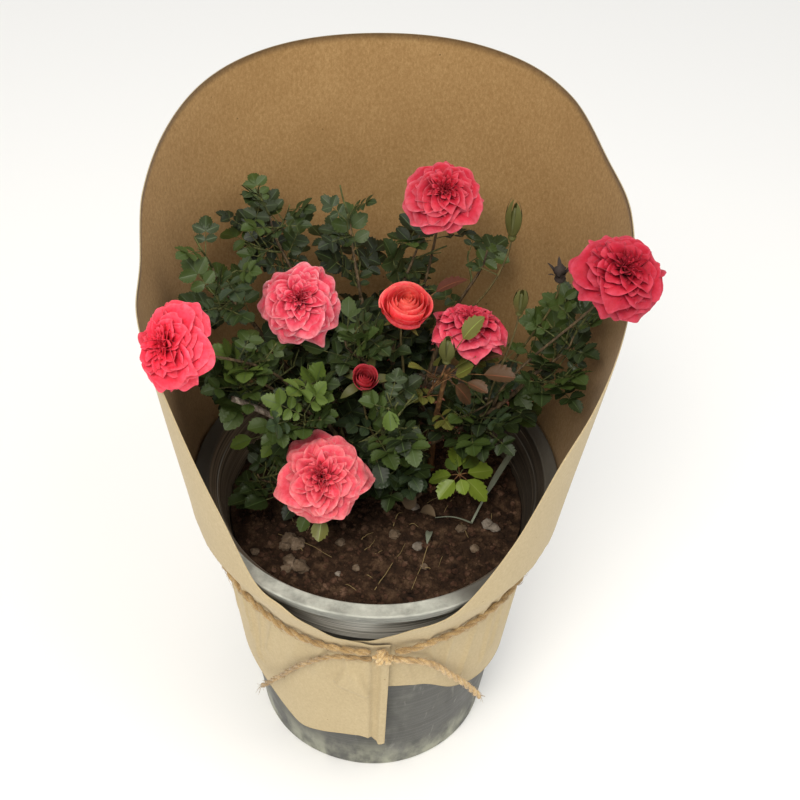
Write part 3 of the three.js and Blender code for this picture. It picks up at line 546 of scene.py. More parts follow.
def bark_material(name, dark, mid, light):
    """Bark with fine streaks along it."""
    material = plain(name, mid, 0.75, Specular_IOR_Level=0.3)
    tree = material.node_tree
    streaks = noise_in(tree, place_in(tree, (1, 1, 0.22)), 520, 6, 0.65)
    wire(material, Base_Color=ramp_in(tree, streaks, [(0.34, dark), (0.5, mid), (0.68, light)]))
    wire(material, Normal=bump_in(tree, streaks, 0.6, 0.0005))
    return material


def leaf_material(name, colour, roughness=0.5):
    """A plain leaf colour, with a fine waxy grain."""
    material = plain(name, colour, roughness, Specular_IOR_Level=0.32)
    tree = material.node_tree
    wire(material, Normal=bump_in(tree, noise_in(tree, place_in(tree), 800, 3), 0.18, 0.0003))
    return material


def petal_material(name, strength):
    """Petals take their tint from the mesh, with fine veins of a deeper tone."""
    material = plain(name, "#d04458", 0.6, Sheen_Weight=0.03, Sheen_Roughness=0.4, Subsurface_Weight=0.12,
                     Subsurface_Scale=0.002, Specular_IOR_Level=0.14)
    tree = material.node_tree
    tint = add_node(tree, "ShaderNodeAttribute", {"attribute_name": "tint"}).outputs["Color"]
    mottle = noise_in(tree, place_in(tree), 420, 4, 0.6)
    deeper = blend_in(tree, 1.0, tint, "#e8708a", "MULTIPLY")
    wire(material, Base_Color=blend_in(tree, span_in(tree, mottle, 0.35, 0.7, 0.0, strength), tint, deeper))
    wire(material, Normal=bump_in(tree, mottle, 0.2, 0.0004))
    return material


LOOK = {
    "pot": pot_material(),
    "soil": soil_material("potting_soil_bed", "#150c07", "#332317", "#604a37"),
    "crumb": soil_material("potting_soil_crumb", "#24160f", "#493225", "#745b49"),
    "clod": soil_material("dry_grey_clod", "#43362a", "#6a5a49", "#968572"),
    "pebble": soil_material("pale_pebble", "#5f564b", "#857b6f", "#a59b8f"),
    "straw": plain("dry_straw", "#8f7a50", 0.8),
    "dead_leaf": plain("dry_tan_leaf", "#6f5d46", 0.85),
    "strap": plain("grey_green_strap", "#747a68", 0.7),
    # One kraft paper in two tones: the darker inside is painted shade and the paler outside is painted light.
    "paper_in": paper_material("kraft_paper_inside_shaded", "#7c5e34", "#907147", "#a5875a", "#523c1d"),
    "paper_out": paper_material("kraft_paper_outside_lit", "#a79573", "#b3a17c", "#bfae8a", "#8a744c"),
    "twine": twine_material("jute_twine_fibre", "#86693c", "#bd9c68", "#e4cd9c"),
    # Darker jute, for the loop, where its darkness is painted shade, and for the left tail.
    "darker_twine": twine_material("jute_twine_darker", "#6f5733", "#a18354", "#c9ae7c"),
    "bark": bark_material("rose_bark_brown", "#2c2118", "#4e402c", "#766446"),
    "green_bark": bark_material("rose_bark_green", "#2f3519", "#464a26", "#666838"),
    "stalk_bark": bark_material("rose_stalk_olive", "#372f1b", "#534a2a", "#736a40"),
    "grey_bark": bark_material("rose_bark_grey", "#4b4238", "#7c7264", "#a4998a"),
    "red_bark": bark_material("young_red_bark_fresh", "#462e1d", "#684729", "#8b6740"),
    "thorn": plain("rose_prickle", "#7c4634", 0.5),
    # The deepest green: partly the leaves' own darker green, partly painted shade.
    "deep": leaf_material("rose_leaf_deep_shade", "#1b2410"),
    "dark": leaf_material("rose_leaf_dark", "#263214"),
    "mid": leaf_material("rose_leaf_mid", "#37461b"),
    "fresh": leaf_material("rose_leaf_fresh", "#4d5f24"),
    # A grey-green whose greyness is partly painted sheen, the sky's reflection on waxy leaves.
    "greyish": leaf_material("rose_leaf_grey_sheen", "#33402a", 0.36),
    "young": leaf_material("young_leaf_yellow_green", "#687a2a", 0.4),
    "olive": leaf_material("young_leaf_olive", "#5f5f2b", 0.42),
    "bronze": leaf_material("young_leaf_bronze", "#56402d", 0.42),
    "maroon": leaf_material("young_leaf_maroon", "#532d24", 0.42),
    "rib": plain("leaf_midrib", "#3f5029", 0.5),
    "young_rib": plain("young_leaf_midrib", "#78853a", 0.5),
    "red_rib": plain("red_leaf_stalk", "#7c4932", 0.5),
    "petal": petal_material("coral_petal_tinted", 0.55),
    "stamen": plain("olive_stamen", "#7d6a30", 0.7),
    "sepal": leaf_material("rosebud_sepal", "#515229", 0.5),
    "spent": plain("spent_petal_brown", "#2a201a", 0.85),
}


# The growing rule, as in the solids.
limbs = {}
heads = []


def add_limb(name, start, start_way, end, end_way, root, tip):
    corners = curve_corners(start, start_way, end, end_way)
    points = bezier(corners, np.linspace(0, 1, CANE["steps"] + 1))
    limbs[name] = {"corners": corners, "points": points, "root": root, "tip": tip}


def limb_place(name, part):
    """Where a part of a limb's run is, the way that the limb runs there, and its radius."""
    limb = limbs[name]
    points = limb["points"]
    at, i = place_on(points, part)
    return at, unit(points[i + 1] - points[i]), lerp(limb["root"], limb["tip"], part)


def flank(name, part, goal, own):
    """Where a side limb starts, just clear of its parent's bark, and the way that it starts."""
    at, along, radius = limb_place(name, part)
    out = square_to(along, goal - at)
    way = unit(0.9 * out + along)
    lean = math.sqrt(1 - (way @ out) ** 2)
    return at + out * (radius + CLEAR + own * lean), way


def mass_frame(mass):
    """The middle of a mass and its own three directions: outwards, across and up."""
    out = on_bearing(mass["bearing"], 1, 0)
    middle = point(FOOT["x"], FOOT["y"], mass["z"]) + out * mass["reach"]
    return middle, (out, point(out[1], -out[0], 0), UP)


def foot_side(out, way, z, own):
    """Where a cane leaves the foot's tapering side."""
    rise = way @ out
    lean = math.sqrt(1 - rise ** 2)
    part = (z + own * rise - SOIL["top"]) / (FOOT["top"] - SOIL["top"])
    radius = lerp(FOOT["bottom"], FOOT["top_radius"], part) + CLEAR + own * lean
    return point(FOOT["x"], FOOT["y"], z) + out * radius


def grow_canes():
    """A cane or bough into the low part of each mass, then the red cane and the stub."""
    for mass in MASSES:
        if mass["kind"] == "fresh":
            continue
        middle, (out, _, _) = mass_frame(mass)
        end = middle - 0.4 * mass["half"][0] * out
        end[2] -= 0.62 * mass["half"][2]
        end_way = unit(0.5 * out + UP)
        size = CANE[mass["kind"]]
        if mass["kind"] == "bough":
            parent, part = BOUGH_STARTS[mass["name"]]
            start, way = flank(parent, part, end, size["root"])
        elif mass["kind"] == "middle":
            start, way = point(FOOT["x"], FOOT["y"], FOOT["top"] + CLEAR), UP
        else:
            way = unit(out + size["rise"] * UP)
            start = foot_side(out, way, FOOT["top"] - size["below"], size["root"])
        add_limb(mass["name"], start, way, end, end_way, size["root"], size["tip"])
    red = RED_CANE
    add_limb("red", point(*red["root"], SOIL["top"] + CLEAR), UP, point(*red["tip"]),
             unit(point(0.1, -0.2, 1)), red["root_radius"], red["tip_radius"])
    goal = point(*STUB["tip"])
    start, way = flank(STUB["on"], STUB["from"], goal, STUB["root_radius"])
    add_limb("stub", start, way, goal, unit(goal - start), STUB["root_radius"], STUB["tip_radius"])


def stalk_name(item):
    return "stalk_" + item["on"] + "_" + item["name"]


def grow_stalk(item, radius):
    """The stalk from a cane's side to the back of a flower or bud."""
    middle = point(*item["at"])
    face = unit(point(*item["face"]))
    foot = middle - 0.3 * item["width"] * face
    start, way = flank(item["on"], item["from"], foot, radius)
    add_limb(stalk_name(item), start, way, foot, face, radius, 0.8 * radius)
    heads.append((middle, face, item["width"] / 2))


def limb_pieces(own):
    """The straight pieces of every limb but the named one: their starts, ends and larger radii."""
    starts, ends, radii = [], [], []
    for name, limb in limbs.items():
        if name == own:
            continue
        starts.append(limb["points"][:-1])
        ends.append(limb["points"][1:])
        radii.append(np.full(len(limb["points"]) - 1, max(limb["root"], limb["tip"])))
    return np.concatenate(starts), np.concatenate(ends), np.concatenate(radii)


def gaps_between(a, b, starts, ends):
    """Shortest distances from the straight piece a to b to each of the others."""
    u = b - a
    v = ends - starts
    w = a - starts
    uu = max(u @ u, 1e-9)
    uv = v @ u
    vv = np.maximum((v * v).sum(1), 1e-9)
    uw = w @ u
    vw = (v * w).sum(1)
    cross = uu * vv - uv * uv
    s = np.where(cross > 1e-9, np.clip((uv * vw - vv * uw) / np.where(cross > 1e-9, cross, 1), 0, 1), 0)
    t = np.clip((uv * s + vw) / vv, 0, 1)
    s = np.clip((uv * t - uw) / uu, 0, 1)
    return np.linalg.norm(a + s[:, None] * u - starts - t[:, None] * v, axis=1)


# Flower heads as flat eggs that no twig or leaf enters: their depth and how far they sit back, in head radii,
# and the gap round them.
HEAD_ROOM = {"depth": 0.55, "back": 0.1, "gap": 3}


def misses_limbs(a, b, distance, others):
    """True where a straight piece keeps the distance to every other limb, and off every flower head."""
    starts, ends, radii = others
    if (gaps_between(a, b, starts, ends) < radii + distance).any():
        return False
    for middle, face, radius in heads:
        for part in (0, 0.5, 1):
            away = lerp(a, b, part) - middle
            up = away @ face + HEAD_ROOM["back"] * radius
            out = math.sqrt(max(away @ away - (away @ face) ** 2, 0))
            wide, high = radius + HEAD_ROOM["gap"], HEAD_ROOM["depth"] * radius + HEAD_ROOM["gap"]
            if math.hypot(out / wide, up / high) < 1:
                return False
    return True


def pot_inside(z):
    """The radius of the pot's inside at a height."""
    low = POT["base"] - POT["wall"] - 1
    high = POT["shoulder"] - POT["wall"] + 0.4
    return lerp(low, high, (z - POT["floor"]) / (POT["shoulder_z"] + 2 - POT["floor"]))


def waist_z(bearing):
    """Height of the twine round the wrap: low in front, high at the back."""
    y = 100 * np.cos(np.radians(bearing))
    turn = TWINE["turn"]
    return TWINE["mid_z"] + TWINE["slope"] * y - TWINE["droop"] * (np.hypot(y, turn) - turn)


def paper_radius(bearing, z):
    """Inner radius of the paper: snug at the waist, out round the rim, then flaring."""
    waist = waist_z(bearing)
    lapped = PAPER["lap"] * (1 - smooth(bearing, *PAPER["lap_fades"]))
    below = lerp(PAPER["hem"], PAPER["waist"], (z - PAPER["hem_z"]) / (waist - PAPER["hem_z"]))
    neck = lerp(PAPER["waist"], PAPER["rim"], (z - waist) / (PAPER["rim_z"] - waist))
    hood = PAPER["rim"] + PAPER["flare"] * (z - PAPER["rim_z"])
    return np.where(z < waist, below, np.where(z < PAPER["rim_z"], neck, hood)) + lapped


def mass_walls(mass):
    """The planes that part a mass from the other ones: their ways and how far they lie from its middle."""
    own = sum(mass["half"]) / 3
    middle, _ = mass_frame(mass)
    ways, limits = [], []
    for other in MASSES:
        if other is mass:
            continue
        between = mass_frame(other)[0] - middle
        length = np.linalg.norm(between)
        ways.append(between / length)
        limits.append(own / (own + sum(other["half"]) / 3) * length - CLEAR)
    return np.array(ways), np.array(limits)


# How far leaves keep over the soil and over the rim, and off the pot's inside and the paper.
ROOM = {"over_soil": 4, "over_rim": 3, "off_wall": 4}


class Space:
    """A mass's own room: its egg, its side of each neighbour, the wrap, the soil and the leaves so far."""

    def __init__(self, mass):
        self.mass = mass
        self.middle, self.axes = mass_frame(mass)
        self.ways, self.limits = mass_walls(mass)
        self.others = limb_pieces(mass["name"])
        self.lines = []

    def height_part(self, z):
        """How far up the mass a height is, from 0 to 1."""
        return (z - self.mass["z"] + self.mass["half"][2]) / (2 * self.mass["half"][2])

    def holds(self, at):
        away = at - self.middle
        parts = [away @ axis / half for axis, half in zip(self.axes, self.mass["half"])]
        if math.hypot(*parts) > 1 or (self.ways @ away > self.limits).any():
            return False
        if at[2] < SOIL["top"] + ROOM["over_soil"]:
            return False
        low = at[2] < POT["height"] + ROOM["over_rim"]
        wall = pot_inside(at[2]) if low else float(paper_radius(0, at[2]))
        return math.hypot(at[0], at[1]) < wall - ROOM["off_wall"]


def leaf_aim(along, k, last, random):
    """Where a leaf points, its upper side and its size."""
    side = unit(np.cross(along, UP))
    other = np.cross(side, along)
    around = (random() - 0.5) * 1.1 + (k % 2) * math.pi
    out = side * math.cos(around) + other * (0.7 * math.sin(around))
    way = unit(out + along * (2.5 if last else 0.7) + UP * 0.15)
    tilt = UP + out * (0.5 * random() - 0.1) + FRONT * 0.35
    return way, square_to(way, tilt), 0.85 + 0.3 * random()


def stem_of(mass, random):
    """The stem that runs on from the cane's tip, up to where another limb blocks it."""
    middle, (out, across, _) = mass_frame(mass)
    at, along, radius = limb_place(mass["name"], 1)
    start = at + CLEAR * along
    deep, wide, high = mass["half"]
    end = middle + 0.16 * deep * out + (random() - 0.5) * 0.32 * wide * across + 0.25 * high * UP
    whole = bezier(curve_corners(start, along, end, UP), np.linspace(0, 1, 6))
    others = limb_pieces(mass["name"])
    for k in range(2, len(whole)):
        if not misses_limbs(whole[k - 1], whole[k], 1.6, others):
            return whole[:k], radius
    return whole, radius


def twigs_of(mass, stem, random):
    """Twigs that leave the stem a golden turn on from each other, and the last runs on upwards."""
    _, (out, across, _) = mass_frame(mass)
    twigs = []
    for k in range(TWIG["count"]):
        last = k == TWIG["count"] - 1
        part = (k + 0.6) / (TWIG["count"] - 0.4)
        base, _ = place_on(stem, part)
        turn = TWIG["golden"] * k + 0.7 * random()
        way = unit(out * math.cos(turn) + across * math.sin(turn) + UP * (2.4 if last else 0.1 + 0.7 * part))
        length = TWIG["reach"] * mass["half"][0] * (0.8 + 0.4 * random())
        twigs.append((base, base + way * length))
    return twigs


# Leaves: a compound leaf is a thin stalk with leaflets in pairs and one at its end.
LEAFLET = {"stations": 13, "tooth": 0.1, "rib": 0.05, "shapes": 6}
# A compound leaf: its length against the solid's leaf, the end leaflet's share of it, its stalk's radius and
# sag, the gap that it keeps, how often it has a third pair, and the fewest leaflets that it may have.
COMPOUND = {
    "stretch": 1.36, "end_share": 0.4, "stalk_radius": 0.38, "sag": 0.07, "keep": 1.1, "third_pair": 0.22,
    "fewest": 3,
}
# Where a pair of leaflets leaves the stalk, its size against the end leaflet, and how far it opens out.
PAIRS = [(0.96, 0.86, 1.12), (0.6, 0.7, 1.28), (0.3, 0.5, 1.35)]
# The columns of points across a leaflet, in parts of its half width.
ACROSS = np.array([-1, -0.5, -LEAFLET["rib"], LEAFLET["rib"], 0.5, 1])
HALF_WIDTH = 0.36
FOLD_SHARES = (0.2, 0.34, 0.12, 0.42, 0.26, 0.05)
DROOPS = (0.16, 0.05, 0.28, 0.12, -0.06, 0.2)


def leaflet_template(k):
    """A serrated oval leaflet of length one along X, folded along its rib and drooping at its tip."""
    count = LEAFLET["stations"]
    t = np.linspace(0, 1, count)
    odd = np.arange(count) % 2 == 1
    half = HALF_WIDTH * np.sin(math.pi * np.clip(t, 0, 1) ** 0.86) ** 0.72 + 0.012
    half[-1] = 0.006
    tooth = np.where(odd, LEAFLET["tooth"], -0.3 * LEAFLET["tooth"])
    tooth[[0, -1]] = 0
    y = half[:, None] * ACROSS[None, :] * (1 + tooth[:, None] * (np.abs(ACROSS) == 1)[None, :])
    x = t[:, None] + 0.25 * np.abs(y) * (t[:, None] < 0.9) * (tooth[:, None] > 0)
    puff = 0.022 * np.where(odd, 1, -1)[:, None] * (np.abs(ACROSS) == 0.5)
    z = np.abs(y) * FOLD_SHARES[k] - DROOPS[k] * t[:, None] ** 2 + puff * (half[:, None] / HALF_WIDTH)
    twist = 0.12 * math.sin(2.1 * k) * y * t[:, None]
    points = np.stack([x, y, z + twist], axis=-1).reshape(-1, 3)
    faces = np.array(grid_faces(count, len(ACROSS)))
    looks = (np.arange(len(faces)) % (len(ACROSS) - 1) == 2).astype(int)
    return points, faces, looks


def leaflets_of(root, way, up, length, pairs, end_share=COMPOUND["end_share"]):
    """The stalk's points and the leaflets, as root, way, upper side and length, the end one first."""
    across = np.cross(up, way)
    stalk_length = length * (1 - end_share)
    sag = COMPOUND["sag"] * length
    t = np.linspace(0, 1, 6)[:, None]
    stalk = root + way * stalk_length * t - up * (sag * t**2)
    run = unit(stalk[-1] - stalk[-2])
    end_length = length * end_share
    leaflets = [(stalk[-1], run, square_to(run, up), end_length)]
    for part, share, opening in PAIRS[:pairs]:
        at = root + way * stalk_length * part - up * (sag * part**2)
        for side in (-1, 1):
            aim = unit(way * math.cos(opening) + across * (side * math.sin(opening)) + up * 0.1)
            tilt = unit(up + across * (side * -0.22))
            leaflets.append((at, aim, square_to(aim, tilt), end_length * share))
    return stalk, leaflets


class Foliage:
    """Leaflets sorted by colour, with their stalks and twigs, to be joined into a few pieces."""

    def __init__(self):
        self.leaflets = {}
        self.rods = {"bark": [], "green_bark": [], "red_bark": []}

    def put_rod(self, look, points, radius, tip_radius):
        self.rods[look].append((points, radius, tip_radius))

    def put_compound(self, tone, stalk, leaflets, draw):
        """A stalk with its leaflets, each of them in one of the outlines."""
        for leaflet in leaflets:
            template = int(draw() * LEAFLET["shapes"]) % LEAFLET["shapes"]
            self.leaflets.setdefault(tone, []).append((leaflet, template))
        look = "red_bark" if tone in REDDISH else "green_bark"
        self.put_rod(look, stalk, COMPOUND["stalk_radius"], 0.7 * COMPOUND["stalk_radius"])


# A spray of larger leaves under the low red bud: the limb that it leaves, its joint, and its leaflets.
SPRAY = {
    "on": "stalk_front_low_red", "from": 0.4, "joint": (6, -40, 295), "radius": 0.5, "end_share": 0.92,
    "leaves": [(-68, 0.1, 16, "mid"), (5, 0.35, 17, "mid"), (165, -0.1, 13, "fresh"), (92, 0, 14, "mid")],
}
# The blooms, that spray and the red cane are seen freely from the front and above: no leaf of the masses
# grows within this reach before them.
FREE = {"way": unit(point(0, -0.73, 0.68)), "skin": 2, "reach": 60, "cane_radius": 6.5, "spray_radius": 15}
BLOOMS = FLOWERS + [GOBLET]
SEEN_MIDDLES = np.array([item["at"] for item in BLOOMS] + [SPRAY["joint"]], float)
SEEN_RADII = np.array([item["width"] / 2 for item in BLOOMS] + [FREE["spray_radius"]])


def stands_before(at, places, radii):
    """True where a point is in front of one of the places, within that place's radius."""
    off = at - places
    before = off @ FREE["way"]
    aside = np.linalg.norm(off - before[:, None] * FREE["way"], axis=1)
    return ((before > FREE["skin"]) & (before < FREE["reach"]) & (aside < radii)).any()


def hides_something(at):
    cane = bezier(limbs["red"]["corners"], np.linspace(0.2, 1, 14))
    return stands_before(at, cane, FREE["cane_radius"]) or stands_before(at, SEEN_MIDDLES, SEEN_RADII)


def leaf_clear(space, root, way, length):
    """True where a leaflet stays in its mass's room, off every limb, and hides nothing."""
    tip = root + way * length
    middle = root + way * (0.5 * length)
    if not (space.holds(tip) and space.holds(middle)):
        return False
    if hides_something(tip) or hides_something(middle):
        return False
    return misses_limbs(root + way * (0.1 * length), tip, COMPOUND["keep"], space.others)


# How far a twig keeps off other limbs, how much it sags, and what is left of one that doesn't fit.
TWIG_GAP = 1.4
TWIG_SAG = 0.4
STUNTED = 0.12
# Leaf colours by mass: for its lower, middle and upper third, each a string of tones to draw from. The deep
# tones low down and in the inner masses are partly the leaves' own darker green and partly painted shade.
TONES = {
    "left_top": ("deep dark mid", "dark mid greyish", "mid dark mid"),
    "left_middle": ("deep dark mid", "dark mid mid", "mid mid fresh"),
    "back_left": ("deep dark", "deep dark mid", "mid dark dark"),
    "back_middle": ("deep dark", "deep dark", "mid dark dark"),
    "back_right": ("deep dark", "deep dark mid", "mid dark dark"),
    "front_left": ("deep dark", "dark mid greyish", "mid fresh dark"),
    "centre": ("deep deep dark", "deep dark dark", "dark deep mid"),
    "front": ("deep deep dark", "deep dark mid", "dark mid fresh"),
    "front_low": ("deep dark", "dark greyish deep", "dark mid"),
    "right_back": ("deep dark", "dark mid", "mid dark"),
    "right": ("deep dark", "dark mid", "mid dark"),
    "right_middle": ("deep dark", "dark mid greyish", "mid dark olive"),
    "back_low": ("deep deep", "deep dark", "dark deep"),
    "young_shoot": ("young fresh fresh", "young", "young young fresh"),
    "low_left": ("deep dark", "dark greyish", "dark mid"),
    "red": ("olive bronze dark", "olive bronze mid", "bronze olive maroon"),
}
REDDISH = ("bronze", "maroon", "young", "olive")
# How full each mass grows: the share of its twigs that is kept, and that of its finer twigs.
FULLNESS = {
    "left_top": (0.85, 0.55), "left_middle": (1, 1.1), "back_left": (1, 0.7), "back_middle": (0.85, 0.6),
    "back_right": (0.7, 0.3), "front_left": (1, 1.1), "centre": (1, 1.3), "front": (0.85, 0.6),
    "front_low": (1, 1.1), "right_back": (0.2, 0), "right": (0.85, 0.7), "right_middle": (0.85, 0.8),
    "back_low": (1, 1.2), "young_shoot": (0, 0), "low_left": (0.85, 0.7), "red": (0.2, 0),
}


def tone_for(space, z, draw):
    third = int(np.clip(space.height_part(z) * 3, 0, 2))
    tones = TONES[space.mass["name"]][third].split()
    return tones[int(draw() * len(tones)) % len(tones)]


def grow_leaf(foliage, space, root, aim, spacing, draw):
    """Puts one compound leaf where it fits, at full size or smaller, or none."""
    way, up, size = aim
    for share in LEAF["tries"]:
        length = LEAF["length"] * size * share * COMPOUND["stretch"]
        pairs = 3 if draw() < COMPOUND["third_pair"] else 2
        stalk, leaflets = leaflets_of(root, way, up, length, pairs)
        joint, run, _, reach = leaflets[0]
        if not leaf_clear(space, joint, run, reach):
            continue
        tip = joint + run * reach
        start = root + (tip - root) * 0.3
        if space.lines and gaps_between(start, tip, *map(np.array, zip(*space.lines))).min() < spacing:
            continue
        tone = tone_for(space, tip[2], draw)
        kept = [leaflet for leaflet in leaflets if leaf_clear(space, leaflet[0], leaflet[1], leaflet[3])]
        if len(kept) >= COMPOUND["fewest"]:
            space.lines.append((start, tip))
            foliage.put_compound(tone, stalk, kept, draw)
            return


def leaves_on(foliage, space, base, tip, count, random, kept):
    """The leaves of one twig. Where they are left out, the solid's stream still runs on."""
    along = unit(tip - base)
    for k in range(count):
        aim = leaf_aim(along, k, k == count - 1, random)
        root = lerp(base, tip, 0.25 + 0.65 * (k + 1) / count)
        if kept:
            grow_leaf(foliage, space, root, aim, LEAF["spacing"], draw_for(space.mass))


FINE = {
    "side_twigs": 4, "side_reach": 0.6, "leaves": 2, "spacing": 2.8, "stem_leaves": 7, "tilt": 0.9,
    "radius": 0.5, "tip": 0.35, "gap": 0.9, "sag": 0.2,
}
own_draws = {}


def draw_for(mass):
    """The stream for what only the fine plant has, so that the twigs stay those of the solids."""
    return own_draws.setdefault(mass["name"], stream(mass["seed"] + SEEDS["fine_twigs"]))


def twig_path(base, tip, sag, draw):
    """A slightly wavy path, so that no twig is ruler straight."""
    t = np.linspace(0, 1, 6)[:, None]
    along = tip - base
    side = unit(np.cross(along, UP + 0.1))
    wave = np.sin(math.pi * t) * (draw() - 0.5) * 0.12 + np.sin(2 * math.pi * t) * (draw() - 0.5) * 0.06
    return base + along * t + side * (wave * np.linalg.norm(along)) - UP * (sag * np.sin(math.pi * t))


def finer_twigs(base, tip, draw):
    """Side twigs of a twig, each a golden turn on from the last one."""
    along = unit(tip - base)
    side = unit(np.cross(along, UP + 0.01))
    other = np.cross(side, along)
    length = np.linalg.norm(tip - base)
    made = []
    for k in range(FINE["side_twigs"]):
        turn = TWIG["golden"] * k + 2 * draw()
        start = lerp(base, tip, (k + 0.8) / (FINE["side_twigs"] + 0.6))
        way = unit(along * 0.8 + side * math.cos(turn) + other * math.sin(turn) + UP * 0.35)
        made.append((start, start + way * (length * FINE["side_reach"] * (0.7 + 0.6 * draw()))))
    return made


def scattered(draw):
    return point(draw(), draw(), draw()) - 0.5


def tilted(aim, draw):
    """A leaf's aim with its upper side turned a little away from the light."""
    way, up, size = aim
    return way, square_to(way, unit(up + FINE["tilt"] * scattered(draw))), size


def grow_twigs(foliage, space, twigs, look, share, random, draw):
    """A share of the solid's twigs, with their leaves. Returns the finer twigs that they bear."""
    fine = []
    for k, (base, tip) in enumerate(twigs):
        kept = int((k + 1) * share + 0.5) > int(k * share + 0.5)
        fits = space.holds(tip) and misses_limbs(base, tip, TWIG_GAP, space.others)
        if fits and kept:
            path = twig_path(base, tip, TWIG_SAG, draw)
            foliage.put_rod(look, path, TWIG["radius"] * 0.8, TWIG["tip"] * 0.7)
            fine.extend(finer_twigs(base, tip, draw))
        used = tip if fits else lerp(base, tip, STUNTED)
        leaves_on(foliage, space, base, used, TWIG["leaves"] if fits else 1, random, kept)
    return fine


def grow_finer_twigs(foliage, space, fine, look, full, draw):
    """The finer twigs that fit, sparser towards the top, with their leaves."""
    for base, tip in fine:
        if draw() > full * lerp(1.3, 0.55, space.height_part(tip[2])):
            continue
        if not (space.holds(tip) and misses_limbs(lerp(base, tip, 0.15), tip, FINE["gap"], space.others)):
            continue
        foliage.put_rod(look, twig_path(base, tip, FINE["sag"], draw), FINE["radius"], FINE["tip"])
        along = unit(tip - base)
        for k in range(FINE["leaves"]):
            aim = tilted(leaf_aim(along, k, k == FINE["leaves"] - 1, draw), draw)
            root = lerp(base, tip, 0.35 + 0.6 * (k + 1) / FINE["leaves"])
            grow_leaf(foliage, space, root, aim, FINE["spacing"], draw)


def grow_stem_leaves(foliage, space, stem, full, draw):
    """Leaves straight on the stem, a golden turn on from each other."""
    for k in range(int(FINE["stem_leaves"] * min(full, 1))):
        root, i = place_on(stem, (k + 0.5) / FINE["stem_leaves"])
        along = unit(stem[i + 1] - stem[i])
        turn = TWIG["golden"] * k
        out = unit(np.cross(along, point(math.cos(turn), math.sin(turn), 0.1)))
        way = unit(out + 0.9 * along)
        up = square_to(way, unit(UP + 0.3 * FRONT - 0.2 * out))
        grow_leaf(foliage, space, root, (way, up, 0.85 + 0.3 * draw()), FINE["spacing"], draw)


def grow_mass(foliage, mass):
    """The stem and twigs of the solid, carried on into finer twigs that bear compound leaves."""
    random = stream(mass["seed"])
    draw = draw_for(mass)
    space = Space(mass)
    stem, radius = stem_of(mass, random)
    twigs = twigs_of(mass, stem, random)
    reddish = mass["name"] in ("young_shoot", "red")
    look = "red_bark" if reddish else "green_bark"
    foliage.put_rod("red_bark" if reddish else "bark", stem, radius, FINE["radius"])
    if mass["name"] == "young_shoot":
        put_leaves(foliage, stem[-1] + ROSETTE["lift"] * UP, ROSETTE, draw)
    share, full = FULLNESS[mass["name"]]
    fine = grow_twigs(foliage, space, twigs, look, share, random, draw)
    grow_finer_twigs(foliage, space, fine, look, full, draw)
    grow_stem_leaves(foliage, space, stem, full, draw)


# Leaves on stalks and canes, by limb: the part of the way up, bearing, rise, length and tone.
LONE_LEAVES = {
    "stalk_right_back_tall": [(0.62, -75, 0.4, 19, "dark"), (0.2, -60, 0.4, 27, "dark")],
    "right_back": [(0.95, -100, 0.5, 24, "dark"), (0.8, 100, 0.5, 22, "deep")],
    "stalk_back_right_top": [(0.72, 95, 0.45, 24, "deep"), (0.5, -120, 0.4, 24, "dark")],
    "stalk_right_right": [(0.6, -60, 0.4, 22, "mid")],
    "stalk_front_left_upper_left": [(0.75, 125, 0.4, 24, "mid")],
    "stalk_front_front": [(0.8, -165, -0.1, 20, "fresh")],
    "stalk_right_green": [(0.5, 40, 0.4, 20, "mid")],
    "stalk_left_middle_left": [(0.6, 20, 0.4, 24, "mid")],
    "stalk_right_spent": [(0.6, 150, 0.4, 18, "dark")],
    "red": [(0.62, 165, 0.5, 24, "olive"), (0.8, -120, 0.4, 22, "olive")],
}
# Shorter leaves than this have one pair of leaflets in place of two.
TWO_PAIRS_FROM = 22
# Leaves of one leaflet, by limb: the part of the way up, the leaflet's tip, its length and tone.
SINGLE_LEAVES = {
    "stalk_red_front": [
        (0.7, (47, -9, 335), 16, "olive"), (0.3, (46, -8, 312), 15, "olive"),
        (0.45, (48, -12, 305), 13, "olive"), (0.5, (30, -12, 313), 11, "olive"),
    ],
    "red": [
        (0.97, (64, 0, 309), 16, "bronze"), (0.98, (74, -9, 300), 18, "bronze"),
        (0.96, (56, -12, 280), 15, "bronze"), (0.93, (29, -14, 300), 12, "bronze"),
        (0.9, (20, -10, 307), 12, "olive"), (0.98, (60, -16, 293), 13, "bronze"),
    ],
    "stalk_centre_half_open": [(0.98, (38.5, 24, 343), 18, "maroon")],
    "stub": [(0.5, (-84, -22, 248), 13, "fresh"), (0.48, (-66, -27, 247), 11, "fresh")],
    "low_left": [(0.6, (-82, -38, 222), 18, "dark"), (0.6, (-70, -42, 222), 17, "dark")],
    "stalk_front_front": [(0.9, (-31, -66, 216), 13, "olive"), (0.9, (-43, -62, 221), 11, "mid")],
}
# The rosette at the tip of the young shoot: bearing, rise, length and tone of leaflets on short stalks.
ROSETTE = {
    "lift": 6, "end_share": 0.76,
    "leaves": [
        (-88, 0.15, 19, "young"), (75, 0.3, 21, "young"), (125, 0.1, 22, "young"), (-5, 0.8, 20, "young"),
        (-140, 0.05, 19, "young"), (38, 0.6, 19, "fresh"), (172, 0.2, 14, "young"), (-45, 0.9, 13, "fresh"),
    ],
}
# Leaves low along the canes, in the shade of the masses, whose deep tones are partly painted shade, and the
# limbs that stay bare.
SHADED = {"first": 0.34, "last": 0.96, "count": 9, "length": 27, "tones": ("deep", "dark", "deep", "greyish")}
BARE = ("stub", "red", "young_shoot", "right_back")


